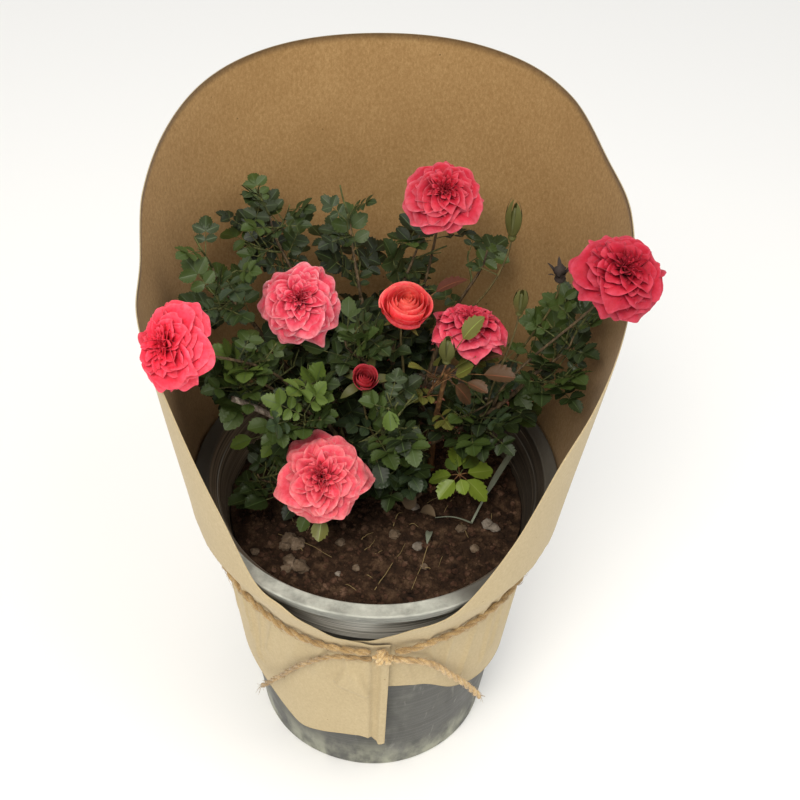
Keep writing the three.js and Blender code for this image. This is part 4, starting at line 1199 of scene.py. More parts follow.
def put_leaf(foliage, root, bearing, rise, length, tone, pairs, end_share, draw):
    """One leaf that starts at a root, whether it fits there or not."""
    way = unit(on_bearing(bearing, 1, rise))
    up = square_to(way, unit(UP + 0.5 * scattered(draw)))
    stalk, leaflets = leaflets_of(root, way, up, length, pairs, end_share)
    foliage.put_compound(tone, stalk, leaflets, draw)


def put_leaves(foliage, joint, group, draw):
    """A rosette or a spray: single leaflets on short stalks from one joint."""
    for bearing, rise, length, tone in group["leaves"]:
        put_leaf(foliage, joint, bearing, rise, length, tone, 0, group["end_share"], draw)


def limb_point(limb, part):
    return bezier(limbs[limb]["corners"], point(part))[0]


def grow_spray(foliage):
    joint = point(*SPRAY["joint"])
    path = np.linspace(limb_point(SPRAY["on"], SPRAY["from"]), joint, 4)
    foliage.put_rod("green_bark", path, SPRAY["radius"], 0.7 * SPRAY["radius"])
    put_leaves(foliage, joint, SPRAY, stream(SEEDS["spray"]))


def put_single_leaf(foliage, root, tip, leaflet, tone, draw):
    """A leaf of one leaflet, whose tip is given."""
    run = point(*tip) - root
    length = np.linalg.norm(run)
    rise = run[2] / max(math.hypot(run[0], run[1]), 1e-6)
    bearing = math.degrees(math.atan2(run[0], run[1]))
    put_leaf(foliage, root, bearing, rise, length, tone, 0, min(leaflet / length, 0.9), draw)


def put_shaded_leaves(foliage, name, draw):
    for k in range(SHADED["count"]):
        part = lerp(SHADED["first"], SHADED["last"], (k + draw()) / SHADED["count"])
        bearing = math.degrees(TWIG["golden"] * k) + 40 * draw()
        tone = SHADED["tones"][k % 4]
        length = SHADED["length"] * (0.8 + 0.4 * draw())
        rise = 0.2 + 0.5 * draw()
        put_leaf(foliage, limb_point(name, part), bearing, rise, length, tone, 2, COMPOUND["end_share"], draw)


def grow_lone_leaves(foliage):
    draw = stream(SEEDS["lone_leaves"])
    for limb, rows in LONE_LEAVES.items():
        for part, bearing, rise, length, tone in rows:
            pairs = 2 if length >= TWO_PAIRS_FROM else 1
            root = limb_point(limb, part)
            put_leaf(foliage, root, bearing, rise, length, tone, pairs, COMPOUND["end_share"], draw)
    for limb, rows in SINGLE_LEAVES.items():
        for part, tip, leaflet, tone in rows:
            put_single_leaf(foliage, limb_point(limb, part), tip, leaflet, tone, draw)
    for name in limbs:
        if not name.startswith("stalk_") and name not in BARE:
            put_shaded_leaves(foliage, name, draw)


LEAF_NODES = ["leaves_" + mass["name"] for mass in MASSES]
LEAFLETS_PER_PIECE = 1500
RIBS = {"young": "young_rib", "olive": "young_rib", "bronze": "red_rib", "maroon": "red_rib"}


def leaflet_pieces(foliage):
    """Each tone's leaflets joined, in pieces of no more than so many."""
    templates = [leaflet_template(k) for k in range(LEAFLET["shapes"])]
    for tone, placed in foliage.leaflets.items():
        materials = [LOOK[tone], LOOK[RIBS.get(tone, "rib")]]
        for part, first in enumerate(range(0, len(placed), LEAFLETS_PER_PIECE)):
            shape = Shape()
            for (root, way, up, length), k in placed[first:first + LEAFLETS_PER_PIECE]:
                points, faces, looks = templates[k]
                axes = np.array([way, np.cross(up, way), up])
                shape.add(root + length * (points @ axes), faces, looks)
            name = f"leaflets_{tone}" + (f"_{part + 1}" if part else "")
            make_piece(name, shape, materials, LEAF_NODES)


def twig_pieces(foliage):
    """Stems, twigs and leaf stalks, joined by bark."""
    for look, rods in foliage.rods.items():
        shape = Shape()
        for points, radius, tip_radius in rods:
            sides = 6 if radius > 0.6 else 4
            shape.add(*tube(points, np.linspace(radius, tip_radius, len(points)), sides))
        make_piece("twigs_" + look, shape, [LOOK[look]], LEAF_NODES)


# Blooms: whorls of petals, in units of the head's radius, from the outermost to the middle. Each whorl has
# its count of petals, their length and half width, the slope at the root and at the tip in degrees above the
# bloom's own level, how far their sides cup towards the axis, and their root's height.
WHORL_KEYS = ("count", "length", "half", "low", "high", "cup", "z")
OPEN_WHORLS = [dict(zip(WHORL_KEYS, row)) for row in (
    (7, 1.0, 0.44, -4, -46, 0.12, -0.15),
    (8, 0.93, 0.41, 8, -38, 0.15, -0.11),
    (8, 0.83, 0.37, 18, -30, 0.22, -0.08),
    (9, 0.72, 0.31, 28, -20, 0.34, -0.05),
    (10, 0.61, 0.23, 38, -8, 0.6, -0.02),
    (11, 0.5, 0.17, 48, 8, 0.95, 0.0),
    (10, 0.4, 0.14, 56, 26, 1.2, 0.02),
    (8, 0.29, 0.11, 66, 42, 1.3, 0.03),
    (6, 0.19, 0.09, 76, 60, 1.3, 0.03),
)]
# How each bloom sits on its stalk: its size against the solid's, how far it stands off, in head radii, the
# way that it faces where that differs, and its width against its length.
SEATS = {
    "left": (1.2, 0.1, (-0.44, -0.64, 0.62), 0.86),
    "upper_left": (1.09, 0.1, None, 1),
    "top": (1.08, 0.22, None, 1),
    "right": (1.09, 0.24, (0.22, -0.36, 0.9), 1),
    "front": (1.1, 0.1, None, 1),
    "inner": (1.1, 0.26, (0.05, 0.22, 1), 1.04),
    "half_open": (1.0, 0.1, (0.1, -0.22, 1), 1),
    "low_red": (1.1, 0.0, None, 1),
}
# A petal: its rows and columns of points, how wide it starts, how round its end is, how strong its ruffles
# and grooves are, the share of petals that end in a point, the steps of its slope, how far from the axis an
# open one starts, and how low a wrapped one does.
PETAL = {
    "rows": 11, "columns": 15, "claw": 0.3, "round": 0.27, "ruffle": 0.12, "grooves": 0.02, "pointed": 0.24,
    "steps": 40, "root": 0.04, "foot": -0.75,
}

# Colours of each bloom: in its middle, outside, along the petals' edges, and at their roots, where the deeper
# red is painted shade in the gaps between the petals.
BLOOM_COLOURS = {
    "left": ("#e4304a", "#e83e54", "#f07484", "#cc142e"),
    "upper_left": ("#d0344e", "#d64e62", "#ecb4b8", "#b0182e"),
    "top": ("#ae182c", "#b82e42", "#d47682", "#8a0a1a"),
    "right": ("#9c1226", "#ac2036", "#c25466", "#66060f"),
    "front": ("#d43a4e", "#e4606e", "#f0a8a4", "#b4182a"),
    "inner": ("#b8263c", "#cc4058", "#dc7c88", "#84101f"),
    "half_open": ("#ff6c58", "#f8566c", "#ffa890", "#f2483a"),
    "low_red": ("#d83848", "#de4c5a", "#e87880", "#9c1624"),
}


def petal_grid():
    """Each point's place on a petal: how far along it, from 0 to 1, and how far across, from -1 to 1."""
    return np.linspace(0, 1, PETAL["rows"])[:, None], np.linspace(-1, 1, PETAL["columns"])[None, :]


def petal(length, half, low, high, cup, z, rand):
    """One petal that grows out along X from the axis: its points in rows by columns."""
    v, u = petal_grid()
    point_share = 0.14 if rand[0] < PETAL["pointed"] else 0.03 * (rand[0] - 0.5)
    reach = 1 - PETAL["round"] * np.abs(u) ** 2.3 + point_share * np.exp(-(u / 0.26) ** 2) * v**3
    reach = reach + 0.03 * np.sin(4 * u + 9 * rand[1]) * v
    along = v * reach
    steps = PETAL["steps"]
    slope = np.radians(low + (high - low) * np.linspace(0, 1, steps + 1) ** 1.5)
    out = np.concatenate([[0], np.cumsum(np.cos(slope[:-1]))]) * length / steps
    lift = np.concatenate([[0], np.cumsum(np.sin(slope[:-1]))]) * length / steps
    at = np.clip(along, 0, 1) * steps
    over_end = np.clip(along - 1, 0, None) * length
    x = np.interp(at, np.arange(steps + 1), out) + over_end * math.cos(math.radians(high))
    rise = np.interp(at, np.arange(steps + 1), lift) + over_end * math.sin(math.radians(high))
    width = half * (PETAL["claw"] + (1 - PETAL["claw"]) * smooth(v, 0, 0.72)) * (1 - 0.1 * smooth(v, 0.8, 1))
    bend = 1.5 * cup * u
    y = width * np.sin(bend) / (1.5 * cup)
    lifted = width * (1 - np.cos(bend)) / (1.5 * cup)
    ruffle = PETAL["ruffle"] * half * v**2 * np.sin(5.5 * u + 6 * rand[2])
    side_wave = 0.06 * half * np.sin(6 * v + 5 * rand[3]) * u * np.abs(u)
    groove = PETAL["grooves"] * half * np.cos(9 * u + 3 * rand[1]) * (1 - v)
    rolled = -0.16 * half * smooth(v, 0.82, 1.0) * (1 - 0.4 * np.abs(u))
    here = np.radians(low + (high - low) * np.clip(along, 0, 1) ** 1.5)
    over = lifted + ruffle + side_wave + groove + rolled
    return np.stack([PETAL["root"] + x - np.sin(here) * over, y, z + rise + np.cos(here) * over], axis=-1)


def mixed(first, second, part):
    """One colour mixed into another by a part for each point."""
    return first + (second - first) * np.asarray(part)[..., None]


def petal_tint(colours, outer, shade, vein=0.0):
    """Each point's colour: deep at the root as painted shade in the gaps between petals, paler at the edge
    and on outer whorls, faintly veined.
    """
    shape = (PETAL["rows"], PETAL["columns"])
    v, u = [np.broadcast_to(values, shape) for values in petal_grid()]
    middle, outside, edge, root = [np.array(rgb(code)) for code in colours]
    base = mixed(np.broadcast_to(middle, (*shape, 3)), outside, np.clip(outer * (0.2 + 0.9 * v), 0, 1))
    rim = smooth(v, 0.8, 1.0) * 0.6 + smooth(np.abs(u), 0.75, 1.0) * 0.4 * smooth(v, 0.35, 0.8)
    base = mixed(base, edge, np.clip(rim, 0, 1) * (0.3 + 0.7 * outer))
    # Painted shade: the deep root colour darkens the gaps between the petals.
    base = mixed(base, root, 0.85 * (1 - smooth(v, 0.3, 0.8)))
    veins = 1 - 0.1 * (0.5 + 0.5 * np.cos(14 * u + vein)) * (1 - 0.6 * v)
    return np.clip(base * (shade * veins)[..., None], 0, 1).reshape(-1, 3)


def turn_about_axis(points, turn):
    cos, sin = math.cos(turn), math.sin(turn)
    return points @ np.array([[cos, sin, 0], [-sin, cos, 0], [0, 0, 1]])


def set_head(points, item):
    """Turns a head made about Z, in units of its radius, to the way that it faces, and moves it there."""
    face = unit(point(*item["face"]))
    axis = np.cross(UP, face)
    sine = np.linalg.norm(axis)
    scaled = np.asarray(points, float) * (item["width"] / 2)
    if sine > 1e-6:
        turn = Matrix.Rotation(math.atan2(sine, face @ UP), 3, axis / sine)
        scaled = scaled @ np.array(turn).T
    return scaled * point(item.get("narrow", 1), 1, 1) + point(*item["at"])


def seated(item):
    """The head as its petals take it: a little larger or turned, and set off along the way that it faces."""
    scale, lift, face, narrow = SEATS[item["name"]]
    face = face or item["face"]
    at = point(*item["at"]) + unit(point(*face)) * (lift * item["width"] / 2)
    return {**item, "width": item["width"] * scale, "face": face, "at": tuple(at), "narrow": narrow}


def bloom_shape(item, whorls, seed):
    """All petals of one bloom. The rows of a petal are sheets of quads."""
    draw = stream(seed)
    colours = BLOOM_COLOURS[item["name"]]
    item = seated(item)
    shape = Shape()
    start = any_turn(draw)
    faces = grid_faces(PETAL["rows"], PETAL["columns"])
    for number, whorl in enumerate(whorls):
        outer = 1 - number / (len(whorls) - 1)
        start += math.pi / whorl["count"] + 0.3 * (draw() - 0.5)
        for k in range(whorl["count"]):
            rand = [draw() for _ in range(4)]
            turn = start + 2 * math.pi * (k + 0.6 * (draw() - 0.5)) / whorl["count"]
            points = petal(
                whorl["length"] * (0.84 + 0.22 * draw()), whorl["half"] * (0.8 + 0.45 * draw()),
                whorl["low"] + 12 * (draw() - 0.5), whorl["high"] + 34 * (draw() - 0.5),
                whorl["cup"] * (0.8 + 0.4 * draw()), whorl["z"], rand,
            ).reshape(-1, 3)
            roll = 0.7 * (draw() - 0.5)
            points = points + np.outer(points[:, 1] * roll, UP)
            points = turn_about_axis(points, turn)
            tint = petal_tint(colours, outer, 0.9 + 0.2 * draw(), 6 * rand[2])
            shape.add(set_head(points, item), faces, 0, tint)
    return shape


def wrapped_petal(radius, span, top, flare, uneven):
    """A petal that wraps round the axis: its radius at the rim, how far round it runs, and its height."""
    v, u = petal_grid()
    height = top * (1 - 0.2 * np.abs(u) ** 2.4 + 0.05 * np.sin(3 * u + 6 * uneven))
    belly = smooth(v, -0.35, 0.62)
    lip = smooth(v, 0.72, 1.0) * (1 - 0.35 * u**2)
    r = radius * (0.2 + 0.8 * belly) + flare * lip + 0.06 * radius * u * (0.3 + v)
    z = PETAL["foot"] + (height - PETAL["foot"]) * v - 0.6 * abs(flare) * smooth(v, 0.86, 1.0)
    turn = u * span
    return np.stack([r * np.cos(turn), r * np.sin(turn), z * np.ones_like(u)], axis=-1)


# Wrapped petals from the outside to the tight middle: count, radius, half span, height and flare.
GOBLET_WRAPS = [
    (3, 0.88, 1.2, 0.22, 0.16), (3, 0.86, 1.25, 0.4, 0.1), (3, 0.74, 1.25, 0.5, 0.02),
    (3, 0.6, 1.25, 0.55, -0.04), (3, 0.45, 1.3, 0.58, -0.06), (3, 0.31, 1.35, 0.6, -0.05),
    (2, 0.2, 1.8, 0.61, -0.04), (2, 0.1, 1.9, 0.61, -0.03),
]
SMALL_WRAPS = [
    (4, 0.8, 0.9, 0.75, 0.1), (4, 0.62, 0.95, 0.85, 0.02), (3, 0.45, 1.2, 0.92, -0.04),
    (3, 0.3, 1.3, 0.97, -0.04), (2, 0.16, 1.7, 1.0, -0.03),
]


def wrapped_shape(item, wraps, seed):
    """A bloom that is still half closed: petals wrapped round its middle."""
    draw = stream(seed)
    colours = BLOOM_COLOURS[item["name"]]
    item = seated(item)
    shape = Shape()
    turn = any_turn(draw)
    faces = grid_faces(PETAL["rows"], PETAL["columns"])
    for number, (count, radius, span, top, flare) in enumerate(wraps):
        outer = 1 - number / (len(wraps) - 1)
        turn += math.pi / count + 0.3 * draw()
        for k in range(count):
            uneven = draw()
            points = wrapped_petal(radius * (0.95 + 0.1 * draw()), span, top * (0.94 + 0.12 * draw()),
                                   flare * (0.7 + 0.6 * draw()), uneven)
            here = turn + 2 * math.pi * k / count + 0.15 * (draw() - 0.5)
            points = turn_about_axis(points.reshape(-1, 3), here)
            tint = petal_tint(colours, outer, 0.94 + 0.12 * draw())
            shape.add(set_head(points, item), faces, 0, tint)
    return shape


def blade(length, half, curl, rise, rows=7, fold=0.3):
    """A pointed sepal along X: its slope starts at rise and changes by curl, both in radians."""
    t = np.linspace(0, 1, rows)
    slope = rise + curl * t
    step = length / (rows - 1)
    x = np.concatenate([[0], np.cumsum(np.cos(slope[:-1]) * step)])
    z = np.concatenate([[0], np.cumsum(np.sin(slope[:-1]) * step)])
    width = half * np.sin(math.pi * np.clip(0.12 + 0.88 * t, 0, 1) ** 0.8) ** 0.8 + 0.03 * half
    width[-1] = 0.05 * half
    u = point(-1, 0, 1)
    points = np.stack([
        x[:, None] * np.ones(3), width[:, None] * u, z[:, None] + fold * width[:, None] * np.abs(u),
    ], axis=-1).reshape(-1, 3)
    return points, grid_faces(rows, 3)


def lathe(profile, sides):
    """A round body about Z, closed at both ends."""
    ends = [[0, 0, profile[0][1]], [0, 0, profile[-1][1]]]
    return np.concatenate([turned(profile, sides).reshape(-1, 3), ends]), closed_faces(len(profile), sides)


# The green hip under a head, as radius and height in parts of the head's radius.
HIP = [(0.05, -0.62), (0.1, -0.58), (0.15, -0.5), (0.17, -0.42), (0.15, -0.35), (0.2, -0.3)]
SMALL_HIP = [(0.16, -1.25), (0.4, -1.18), (0.6, -1.0), (0.68, -0.82), (0.55, -0.66), (0.6, -0.58)]


STALK = {"rows": 22, "sides": 8, "hip_sides": 12, "sepals": 5, "sepal_rows": 8}


def stalk_shape(item, hip, sepal, seed):
    """The stalk, hip and sepals of a head. Material 0 is the stalk's bark and 1 the green of the hip."""
    draw = stream(seed)
    shape = Shape()
    limb = limbs[stalk_name(item)]
    rows, sides = STALK["rows"], STALK["sides"]
    path = bezier(limb["corners"], np.linspace(0, 1, rows))
    radii = np.linspace(limb["root"], limb["tip"] * 0.85, rows)
    radii[:2] *= (1.35, 1.15)
    shape.add(*tube(path, radii, sides, 1 + 0.05 * wobble(rows, sides, seed)), 0)
    points, faces = lathe(hip, STALK["hip_sides"])
    shape.add(set_head(points * slim_of(item), item), faces, 1)
    for k in range(STALK["sepals"]):
        points, faces = blade(sepal["length"] * (0.85 + 0.3 * draw()), sepal["half"], sepal["curl"],
                              sepal["rise"] + 0.2 * (draw() - 0.5), rows=STALK["sepal_rows"])
        points = points + point(sepal["root"], 0, sepal["z"])
        points = turn_about_axis(points, 2 * math.pi * (k + 0.3 * draw()) / STALK["sepals"])
        shape.add(set_head(points * slim_of(item), item), faces, 1)
    return shape


# How slim the buds are, along their own two cross directions and their axis.
SLIM = {
    "tall": (0.78, 0.78, 1.35), "green": (0.66, 0.66, 1.05), "front": (0.95, 0.95, 1.2),
    "spent": (0.8, 0.8, 0.85),
}


def slim_of(item):
    return point(*SLIM.get(item["name"], (1, 1, 1)))


def wobble(rows, sides, seed):
    """Smooth unevenness for a tube, rows by sides, from about -1 to 1."""
    row, side = np.meshgrid(np.arange(rows), np.arange(sides), indexing="ij")
    turn = side * 2 * math.pi / sides
    return (np.sin(0.9 * row + 2 * turn + seed) + np.sin(0.37 * row - turn + 2 * seed)
            + 0.7 * np.sin(1.9 * row + 3 * turn + 3 * seed)) / 2.2


# Sepals in parts of the head's radius: their length and half width, the slope at which they start and how it
# changes, in radians, and how far from the axis and how high they start.
OPEN_SEPALS = {"length": 0.62, "half": 0.1, "rise": 0.1, "curl": -0.9, "root": 0.12, "z": -0.33}
GOBLET_SEPALS = {"length": 0.95, "half": 0.11, "rise": -0.2, "curl": 0.5, "root": 0.14, "z": -0.42}
BUD_SEPALS = {"length": 3.6, "half": 0.62, "rise": 1.0, "curl": 1.45, "root": 0.5, "z": -0.62}
SPENT_SEPALS = {"length": 2.0, "half": 0.26, "rise": 1.0, "curl": -0.6, "root": 0.4, "z": -0.55}
LOOSE_SEPALS = {"length": 1.9, "half": 0.34, "rise": 0.2, "curl": -1.2, "root": 0.45, "z": -0.6}
# The closed middle of a bud, as radius and height in parts of the head's radius.
BUD_CORE = [(0.5, -0.7), (0.8, -0.35), (0.96, 0.1), (0.98, 0.6), (0.84, 1.1), (0.55, 1.6), (0.2, 2.05)]


def stamens(item, count, seed):
    """Short threads that stand round the middle of an open bloom."""
    draw = stream(seed)
    shape = Shape()
    for _ in range(count):
        turn = any_turn(draw)
        lean = 0.1 + 0.1 * draw()
        path = np.array([[0.03, 0, 0.0], [0.05 + lean * 0.5, 0, 0.12], [0.05 + lean, 0, 0.2 + 0.06 * draw()]])
        path = set_head(turn_about_axis(path, turn), item)
        shape.add(*tube(path, point(0.16, 0.14, 0.45), 5))
    return shape


BROWN_STALKS = ("left", "right", "top")
STAMENS = 16


def grow_blooms():
    for number, item in enumerate(FLOWERS):
        name = item["name"]
        node = ["flower_" + name]
        bark = LOOK["bark" if name in BROWN_STALKS else "stalk_bark"]
        petals = bloom_shape(item, OPEN_WHORLS, SEEDS["bloom"] + number)
        calyx = stalk_shape(item, HIP, OPEN_SEPALS, SEEDS["calyx"] + number)
        threads = stamens(item, STAMENS, SEEDS["stamens"] + number)
        make_piece("bloom_" + name, petals, [LOOK["petal"]], node)
        make_piece("calyx_" + name, calyx, [bark, LOOK["sepal"]], node)
        make_piece("stamens_" + name, threads, [LOOK["stamen"]], node)
    node = ["flower_half_open"]
    petals = wrapped_shape(GOBLET, GOBLET_WRAPS, SEEDS["half_open"])
    calyx = stalk_shape(GOBLET, HIP, GOBLET_SEPALS, SEEDS["half_open_calyx"])
    make_piece("bloom_half_open", petals, [LOOK["petal"]], node)
    make_piece("calyx_half_open", calyx, [LOOK["stalk_bark"], LOOK["sepal"]], node)


def closed_bud(item, sepals, seed, spent):
    """A bud's stalk and sepals with its closed core, which is shrivelled where the flower is spent."""
    shape = stalk_shape(item, SMALL_HIP, sepals, seed)
    points, faces = lathe(BUD_CORE, 10)
    if spent:
        points = points * point(0.7, 0.7, 0.45) * (1 + 0.5 * rough(points, 2.2, 2))[:, None]
    shape.add(set_head(points * slim_of(item), item), faces, 2)
    return shape


def grow_buds():
    for number, item in enumerate(BUDS):
        name = item["name"]
        node = ["bud_" + name]
        bark = LOOK["red_bark" if name == "front" else "stalk_bark"]
        if name == "low_red":
            petals = wrapped_shape(item, SMALL_WRAPS, SEEDS["low_red"])
            make_piece("petals_low_red", petals, [LOOK["petal"]], node)
            shape = stalk_shape(item, SMALL_HIP, LOOSE_SEPALS, SEEDS["low_red_calyx"])
            materials = [bark, LOOK["sepal"]]
        else:
            spent = name == "spent"
            sepals = SPENT_SEPALS if spent else BUD_SEPALS
            shape = closed_bud(item, sepals, SEEDS["bud"] + number, spent)
            green = LOOK["spent" if spent else "sepal"]
            materials = [bark, green, green]
        make_piece("sepals_" + name, shape, materials, node)


# Canes: bark with knots and a few prickles.
def prickle(at, out, along, size):
    """A small hooked prickle that stands out from the bark and leans down."""
    path = np.array([at - out * 0.3, at + out * size * 0.5 - along * size * 0.05,
                     at + out * size - along * size * 0.45])
    return tube(path, point(0.42, 0.26, 0.06) * size, 5)


BARK = {"rows": 46, "sides": 10, "knots": 5, "swell": 0.16, "knot_reach": 0.012, "prickles": 9}


def cane_shape(name, limb, seed):
    """A cane's bark, thicker at its foot and its knots, with prickles."""
    draw = stream(seed)
    shape = Shape()
    count = BARK["rows"]
    t = np.linspace(0, 1, count)
    path = bezier(limb["corners"], t)
    radii = lerp(limb["root"], limb["tip"], t)
    for _ in range(BARK["knots"]):
        knot = 0.08 + 0.84 * draw()
        radii = radii * (1 + BARK["swell"] * np.exp(-((t - knot) / BARK["knot_reach"]) ** 2))
    radii = radii * (1 + 0.35 * np.exp(-(t / 0.03) ** 2))
    shape.add(*tube(path, radii, BARK["sides"], 1 + 0.09 * wobble(count, BARK["sides"], seed)), 0)
    prickles = 0 if name == "stub" else BARK["prickles"]
    for k in range(prickles):
        part = 0.1 + 0.85 * (k + draw()) / prickles
        i = int(part * (count - 1))
        along = unit(path[min(i + 1, count - 1)] - path[i - 1])
        out = unit(np.cross(along, point(math.cos(2.4 * k), math.sin(2.4 * k), 0.2)))
        shape.add(*prickle(path[i] + out * radii[i] * 0.9, out, along, 1.6 + 1.0 * draw()), 1)
    return shape


# The bark of each cane that isn't brown.
CANE_LOOKS = {
    "red": "red_bark", "young_shoot": "red_bark", "stub": "grey_bark", "left_middle": "green_bark",
    "right_middle": "green_bark", "front": "green_bark", "back_left": "green_bark",
}


def grow_bark():
    for number, (name, limb) in enumerate(limbs.items()):
        if name.startswith("stalk_"):
            continue
        look = CANE_LOOKS.get(name, "bark")
        shape = cane_shape(name, limb, SEEDS["cane"] + number)
        make_piece("bark_" + name, shape, [LOOK[look], LOOK["thorn"]], ["cane_" + name])


# The stubs of old canes on the foot: their bearing and radius.
OLD_STUBS = [(150, 2.6), (-140, 2.2), (70, 1.9)]
FOOT_GRID = {"rows": 18, "sides": 28}


def foot_shape():
    """The woody foot: gnarled, with the stubs of old canes."""
    rows, sides = FOOT_GRID["rows"], FOOT_GRID["sides"]
    t = np.linspace(0, 1, rows)
    z = lerp(SOIL["top"] - 2, FOOT["top"], t)
    radii = lerp(FOOT["bottom"], FOOT["top_radius"], t) - 0.6 * smooth(t, 0.86, 1.0) * 3
    path = np.stack([np.full(rows, FOOT["x"]), np.full(rows, FOOT["y"]), z], axis=-1).astype(float)
    shape = Shape()
    shape.add(*tube(path, radii, sides, 1 + 0.07 * wobble(rows, sides, SEEDS["foot"])))
    for k, (bearing, size) in enumerate(OLD_STUBS):
        out = on_bearing(bearing, 1, 0.5)
        start = point(FOOT["x"], FOOT["y"], SOIL["top"] + 15 + 2 * k) + out * 3
        knob = np.array([start, start + unit(out) * 4, start + unit(out) * 6.5])
        shape.add(*tube(knob, point(size, size * 0.95, size * 0.8), 9))
    return shape


# The pot and its soil.
POT_SEGMENTS = 180


def pot_profile():
    """The pot's section as radius and height: along its foot, up the outside, over the rim, down inside."""
    base, wall = POT["base"], POT["wall"]
    shoulder, shoulder_z = POT["shoulder"], POT["shoulder_z"]
    neck, neck_z = POT["neck"], POT["neck_z"]
    rim, top, mouth = POT["rim"], POT["height"], POT["mouth"]
    inner = shoulder - wall + 0.4
    rim_low = top - POT["rim_depth"]
    outside = [
        (0.01, 0), (base - 9, 0), (base - 2.2, 0), (base - 0.7, 0.6), (base, 2), (base + 2.2, 28),
        (base + 2.5, 28.8), (shoulder - 0.5, shoulder_z - 6), (shoulder, shoulder_z),
        (shoulder + 0.9, shoulder_z + 1.1), (shoulder + 1.6, shoulder_z + 3), (neck - 0.5, neck_z - 3),
        (neck, neck_z), (neck + 0.5, rim_low - 0.6), (neck + 1.1, rim_low),
    ]
    rolled = [
        (rim - 1.6, rim_low), (rim - 0.9, rim_low + 0.2), (rim - 0.7, rim_low + 0.7),
        (rim - 0.8, rim_low + 2.6), (rim - 0.1, rim_low + 3.0), (rim, rim_low + 3.4), (rim, top - 0.9),
        (rim - 0.15, top - 0.35), (rim - 0.7, top - 0.05), (rim - 1.5, top - 0.3), (mouth + 1.8, top - 0.3),
        (mouth + 1.0, top), (mouth + 0.3, top - 0.1), (mouth - 0.1, top - 0.8),
    ]
    inside = [
        (neck - wall, neck_z + 1), (neck - wall - 0.4, neck_z - 1), (inner + 0.5, shoulder_z + 4),
        (inner, shoulder_z + 1.5), (inner - 0.4, shoulder_z - 1), (lerp(base, inner, 0.5), 90),
        (base - wall - 1, POT["floor"]), (0.01, POT["floor"]),
    ]
    return outside + rolled + inside


def pot_shape():
    """The pot's wall and rolled rim, slightly dented all round."""
    profile = pot_profile()
    points = turned(profile, POT_SEGMENTS).reshape(-1, 3)
    turns = np.arctan2(points[:, 1], points[:, 0])
    dents = 0.18 * np.sin(3 * turns + 0.5) + 0.12 * np.sin(7 * turns + 2)
    inward = 1 - (0.25 + dents) / np.maximum(np.hypot(points[:, 0], points[:, 1]), 40)
    points = points * np.stack([inward, inward, np.ones(len(points))], axis=-1)
    shape = Shape()
    shape.add(points, grid_faces(len(profile), POT_SEGMENTS, closed=True))
    return shape


def soil_top(x, y):
    """The lumps of the solid's top, which is level round the foot."""
    away = np.hypot(x - FOOT["x"] - 8, y - FOOT["y"])
    lumps = np.sin(x / 9 + 0.6) * np.cos(y / 11) + 0.7 * np.sin((x + 1.6 * y) / 6.5)
    return SOIL["top"] + SOIL["lumps"] * lumps * smooth(away, 32, 46)


def soil_height(x, y):
    """The lumpy top with its crumbs' relief, worn down towards the wall."""
    places = np.stack([x, y, np.zeros_like(x)], axis=-1)
    fine = 1.6 * rough(places, 1 / 11, 4) + 1.3 * rough(places + 40, 1 / 4.2, 4)
    edge = smooth(np.hypot(x, y), 78, 88)
    return soil_top(x, y) + fine - 3.0 * edge


def on_soil(x, y, lift):
    return point(x, y, soil_height(np.array([x]), np.array([y]))[0] + lift)


SOIL_GRID = {"rings": 64, "segments": 210, "gap": 1.2}


def soil_shape():
    """The bed: its lumpy top, with a side and an underside that the pot hides."""
    rings, segments = SOIL_GRID["rings"], SOIL_GRID["segments"]
    reach = pot_inside(SOIL["edge_top"]) - SOIL_GRID["gap"]
    radii = reach * np.linspace(0.004, 1, rings)
    turns = np.arange(segments) * 2 * math.pi / segments
    x = (radii[:, None] * np.cos(turns)).ravel()
    y = (radii[:, None] * np.sin(turns)).ravel()
    top = np.stack([x, y, soil_height(x, y)], axis=-1)
    low_reach = pot_inside(POT["floor"] + 2) - SOIL_GRID["gap"]
    side = np.stack([low_reach * np.cos(turns), low_reach * np.sin(turns),
                     np.full(segments, POT["floor"] + 1.0)], axis=-1)
    base = side * point(0.01, 0.01, 1)
    shape = Shape()
    shape.add(np.concatenate([top, side, base]), grid_faces(rings + 2, segments, closed=True))
    return shape


def lump(radius, draw, flatness=0.75):
    """A small uneven crumb from an icosphere."""
    points, faces = icosphere(1)
    squash = point(0.8 + 0.5 * draw(), 0.8 + 0.5 * draw(), flatness * (0.7 + 0.5 * draw()))
    jitter = np.array([0.82 + 0.36 * draw() for _ in points])
    turned_points = turn_about_axis(points * jitter[:, None] * squash, any_turn(draw))
    return turned_points * radius, faces


def icosahedron():
    g = (1 + 5 ** 0.5) / 2
    points = [
        (-1, g, 0), (1, g, 0), (-1, -g, 0), (1, -g, 0), (0, -1, g), (0, 1, g),
        (0, -1, -g), (0, 1, -g), (g, 0, -1), (g, 0, 1), (-g, 0, -1), (-g, 0, 1),
    ]
    faces = [
        (0, 11, 5), (0, 5, 1), (0, 1, 7), (0, 7, 10), (0, 10, 11), (1, 5, 9), (5, 11, 4), (11, 10, 2),
        (10, 7, 6), (7, 1, 8), (3, 9, 4), (3, 4, 2), (3, 2, 6), (3, 6, 8), (3, 8, 9), (4, 9, 5), (2, 4, 11),
        (6, 2, 10), (8, 6, 7), (9, 8, 1),
    ]
    return [unit(point(*p)) for p in points], faces


